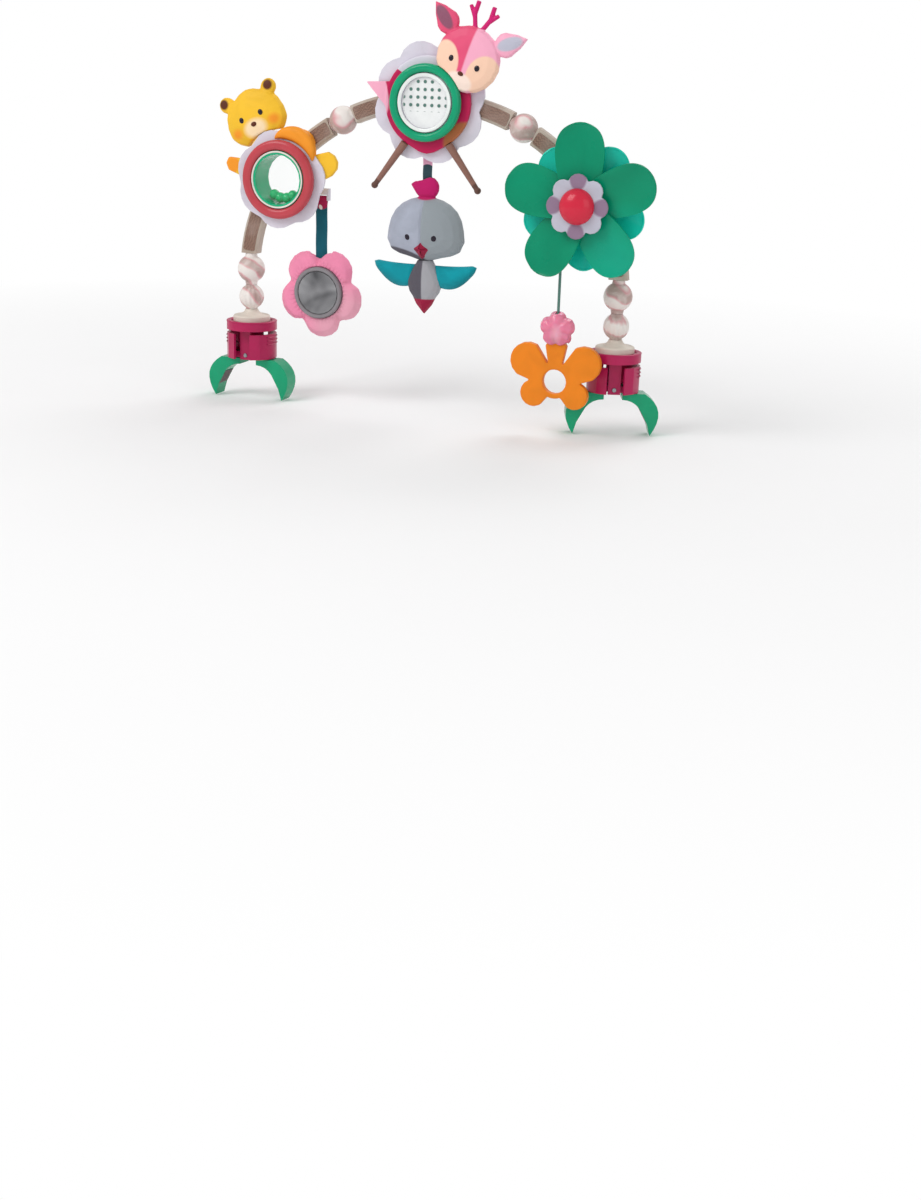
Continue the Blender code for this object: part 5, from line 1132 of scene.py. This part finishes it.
class ARCH_OT_bird_toy(ArchOperator, Operator):
    """Make the padded bird and its ribbon, with a plain face"""
    bl_idname = "play_arch.bird_toy"
    bl_label = "Bird toy"

    def build(self, colours, sizes):
        centre, up = BIRD_HEAD

        def seam(point):
            x, z = point.x - centre, point.z - up
            groove = sizes.seam * 0.8 * bump_at(x, 0.0011) if z < 0.028 else 0
            rim = sizes.seam * 0.5 * bump_at(point.y, 0.0009)
            crease = 0.0012 * bump_at(z - 0.0305, 0.0014)
            point.y -= copysign(min(groove + crease, abs(point.y) * 0.6), point.y)
            jowl = bump_at(abs(x) - 0.034, 0.012) * bump_at(z + 0.0245, 0.009)
            point.x += copysign(0.0035 * jowl, x) - x * rim / 0.03
            point.z -= 0.001 * jowl

        def trimmed(bm):
            for way in WAYS:
                cut = bmesh.ops.bisect_plane(
                    bm, geom=[*bm.verts, *bm.edges, *bm.faces], clear_outer=True,
                    plane_co=(centre + way * 0.0172, 0, 0), plane_no=(way, 0, 0))
                bmesh.ops.holes_fill(bm, edges=only(BMEdge, cut["geom_cut"]), sides=0)

        marks = [half_spot(BIRD_HEAD, colours.bird_grey),
                 place_spot(BIRD_HEAD, -0.0185, -0.027, 0.025, 0.0075, colours.bird_dark, 0.1,
                            -0.25, back=0.0),
                 place_spot(BIRD_HEAD, 0, 0.04, 0.0175, 0.0115, colours.crest, 0.05)]
        wool = cloth("bird_head_cloth", colours.bird_pale, marks)
        head = softened("bird_head", "bird_head_pad", wool, "bird_toy", 0.0009, 4, seam)
        marks = [half_spot(BIRD_BODY, colours.bird_light),
                 place_spot(BIRD_BODY, 0, -0.3175, 0.3, 0.3, colours.tail, 0.002, deep=3.0)]
        fluff = cloth("bird_body_cloth", colours.bird_dark, marks)
        body = softened("bird_body", "bird_body_pad", fluff, "bird_toy", 0.0008, 2, cut=trimmed)
        for side, way in SIDES:
            # Painted shade: a darker teal along each wing's lower edge towards its tip
            shade = place_spot(BIRD_BODY, way * 0.044, -0.0015, 0.024, 0.007,
                               darker(colours.wing, 0.6), 0.8, way * radians(30))
            teal = cloth(f"bird_{side}_wing_cloth", colours.wing, [shade])
            piece(f"bird_{side}_wing_pad", self.wing(way), teal, "bird_toy",
                            angle=180)

        dark = glossy("bird_eye_gloss", colours.dark, 0.12)
        eyes = [rounded((0.0031, 0.0034, 0.0018),
                        on_unit(BIRD_HEAD, way * 0.0135, -0.0065, 0.0152)) for way in WAYS]
        piece("bird_eyes", gathered(eyes), dark, "bird_toy")
        piece("bird_beak", self.beak(), cloth("beak_cloth", colours.tail, pitch=0.0006, bump=0.5),
              "bird_toy", angle=60)
        rod = (centre, BIRD_ROD)
        marks = [place_spot(rod, 0, -0.027, 0.0085, 0.0085, (0.03, 0.07, 0.09), 0.04)]
        strap = ribbon_cloth("pink_ribbon_cloth", colours.ribbon_pink, marks)
        loop_ribbon("bird_ribbon", rod, 0.0355, 0.0047, strap, "bird_strap")

    def beak(self):
        """A small padded kite that lies on the head's front."""
        bm = bmesh.new()
        bmesh.ops.create_cone(bm, cap_ends=True, segments=4, radius1=1, radius2=0.05, depth=2)
        bmesh.ops.bevel(bm, geom=bm.edges, offset=0.12, segments=3, profile=0.5,
                        affect="EDGES", material=-1)
        place = on_unit(BIRD_HEAD, 0, -0.018, 0.0148) @ turned(radians(8), "X")
        return settled(bm, place @ Matrix.Diagonal((0.0128, 0.0116, 0.0044, 1)))

    def wing(self, way):
        """A sewn wing: two puffed panels with a straight top, a full low edge and a blunt tip."""
        shares = [i / 24 for i in range(25)]
        bm = bmesh.new()
        for face in WAYS:
            rows = []
            for along in shares:
                top = 0.0155 + 0.0028 * along ** 3
                belly = 0.0035 * sin(pi * min(1.0, along * 1.15))
                low = -0.0045 - belly + 0.0165 * along ** 3.2
                swell = min(1.0, along / 0.12, (1 - along) / 0.12) ** 0.6
                blunt = sqrt(1 - max(0.0, (along - 0.88) / 0.12) ** 2)
                low = top - (top - low) * (0.45 + 0.55 * blunt)
                top = low + (top - low) * (0.25 + 0.75 * blunt)
                row = []
                for across in (sin(pi / 2 * (2 * share - 1)) for share in shares):
                    puff = 0.005 * swell * (1 - abs(across) ** 2.4) ** 0.7
                    up = BIRD_BODY[1] + (top + low + (top - low) * across) / 2
                    out = BIRD_BODY[0] + way * (0.0095 + 0.0447 * along)
                    row.append(bm.verts.new((out, face * puff, up)))
                rows.append(row)
            for first, second in zip(rows, rows[1:]):
                for i in range(24):
                    bm.faces.new((first[i], first[i + 1], second[i + 1], second[i]))
        return settled(bm, weld=0.00002)


class ARCH_OT_cord_toy(ArchOperator, Operator):
    """Make the cord, its flower bead and the teether"""
    bl_idname = "play_arch.cord_toy"
    bl_label = "Cord toy"

    def build(self, colours, sizes):
        across, out = TEETHER[0], -CORD_OUT
        bead = (across, CORD_LOW - 0.0135)

        def petals(point):
            reach, gap = valley(point.x - bead[0], point.z - bead[1], radians(54))
            notch = bump_at(gap * reach, 0.0024) * min(1.0, reach / 0.008)
            drawn(point, bead, 1 - 0.1 * notch * min(1.0, reach / 0.012))
            deep = point.y - out
            dimple = 0.0022 * bump_at(reach, 0.0035) + 0.0013 * notch
            left = max(0.0, abs(deep) - dimple * min(1.0, abs(deep) / 0.004))
            point.y = out + copysign(left, deep)

        # Painted highlight: a pale pink spot low on the rose bead's centre
        mark = place_spot(bead, 0.001, -0.0035, 0.0052, 0.0085, paler(colours.rose, 0.6), 0.7)
        shine = glossy("rose_plastic", colours.rose, 0.14, transmission_weight=0.25,
                       subsurface_weight=0.3, subsurface_scale=0.01, patches=[mark])
        softened("cord_bead", "rose_bead", shine, "teether", 0.0006, 3, petals)
        orange = colours.orange_toy
        mark = place_spot(TEETHER, 0, 0, 0.0148, 0.0148, paler(orange, 0.15), 0.1)
        soft = moulded("teether_plastic", orange, 0.4, subsurface_weight=0.12,
                       subsurface_scale=0.006, patches=[mark])
        softened("teether", "teether_form", soft, "teether", 0.0006, 5)

        shader = Shader("cord_braid", sheen_weight=0.3)
        braid = shader.wave(260, 0.6, shader.mapped(turn=(0, 0.7, 0)), "Z")
        # The braid's strands, with painted shade: darker in the grooves between them
        tone = shader.ramp(braid, ((0.2, darker(colours.cord, 0.6)), (0.7, colours.cord)))
        braided = shader.finish(tone, 0.8, 0.05, 0.5, 900, braid)
        run = CORD_TOP - CORD_LOW
        points = [(across, out, CORD_TOP - run * i / 23) for i in range(24)]
        cord = linked("bead_string", strung(points, CORD_WIDTH / 2, 4))
        cord.data.materials.append(braided)
        fixed(cord, "cord", "bead_cord")
        ring = [(0.0022 + 0.0006 * cos(a), 0.0017 * sin(a))
                for a in (FULL_TURN * i / 12 for i in range(12))]
        place = moved(across, out, CORD_EYE) @ FACING
        eye = piece("cord_eye", lathed(ring, place, 28, True), braided, "cord")
        ball = rounded((0.0031, 0.0026, 0.0026), moved(across, out, CORD_LOW), 20)
        knot = piece("cord_knot", ball, braided, "cord")


# Sidebar and start

OPERATORS = (ARCH_OT_stage, ARCH_OT_cord_toy, ARCH_OT_bars, ARCH_OT_beads, ARCH_OT_feet,
             ARCH_OT_clips, ARCH_OT_cub_unit, ARCH_OT_cub_figure, ARCH_OT_fawn_unit,
             ARCH_OT_fawn_figure, ARCH_OT_propeller, ARCH_OT_flower_toy, ARCH_OT_bird_toy)


class ARCH_PT_panel(Panel):
    """Lists the arch's groups of pieces and their colours and sizes"""
    bl_idname = "ARCH_PT_panel"
    bl_label = "Play Arch"
    bl_space_type = "VIEW_3D"
    bl_region_type = "UI"
    bl_category = "Play Arch"

    def draw(self, context):
        for operator in OPERATORS:
            self.layout.operator(operator.bl_idname)
        for group in (context.scene.arch_sizes, context.scene.arch_colours):
            box = self.layout.box()
            for name in group.bl_rna.properties.keys():
                if name not in ("rna_type", "name"):
                    box.prop(group, name)


CLASSES = (ArchColours, ArchSizes, *OPERATORS, ARCH_PT_panel)


def register():
    for item in CLASSES:
        bpy.utils.register_class(item)
    bpy.types.Scene.arch_colours = PointerProperty(type=ArchColours)
    bpy.types.Scene.arch_sizes = PointerProperty(type=ArchSizes)


def unregister():
    del bpy.types.Scene.arch_sizes
    del bpy.types.Scene.arch_colours
    for item in reversed(CLASSES):
        bpy.utils.unregister_class(item)


def main():
    register()
    for operator in OPERATORS:
        group, name = operator.bl_idname.split(".")
        getattr(getattr(bpy.ops, group), name)()


if __name__ == "__main__":
    main()
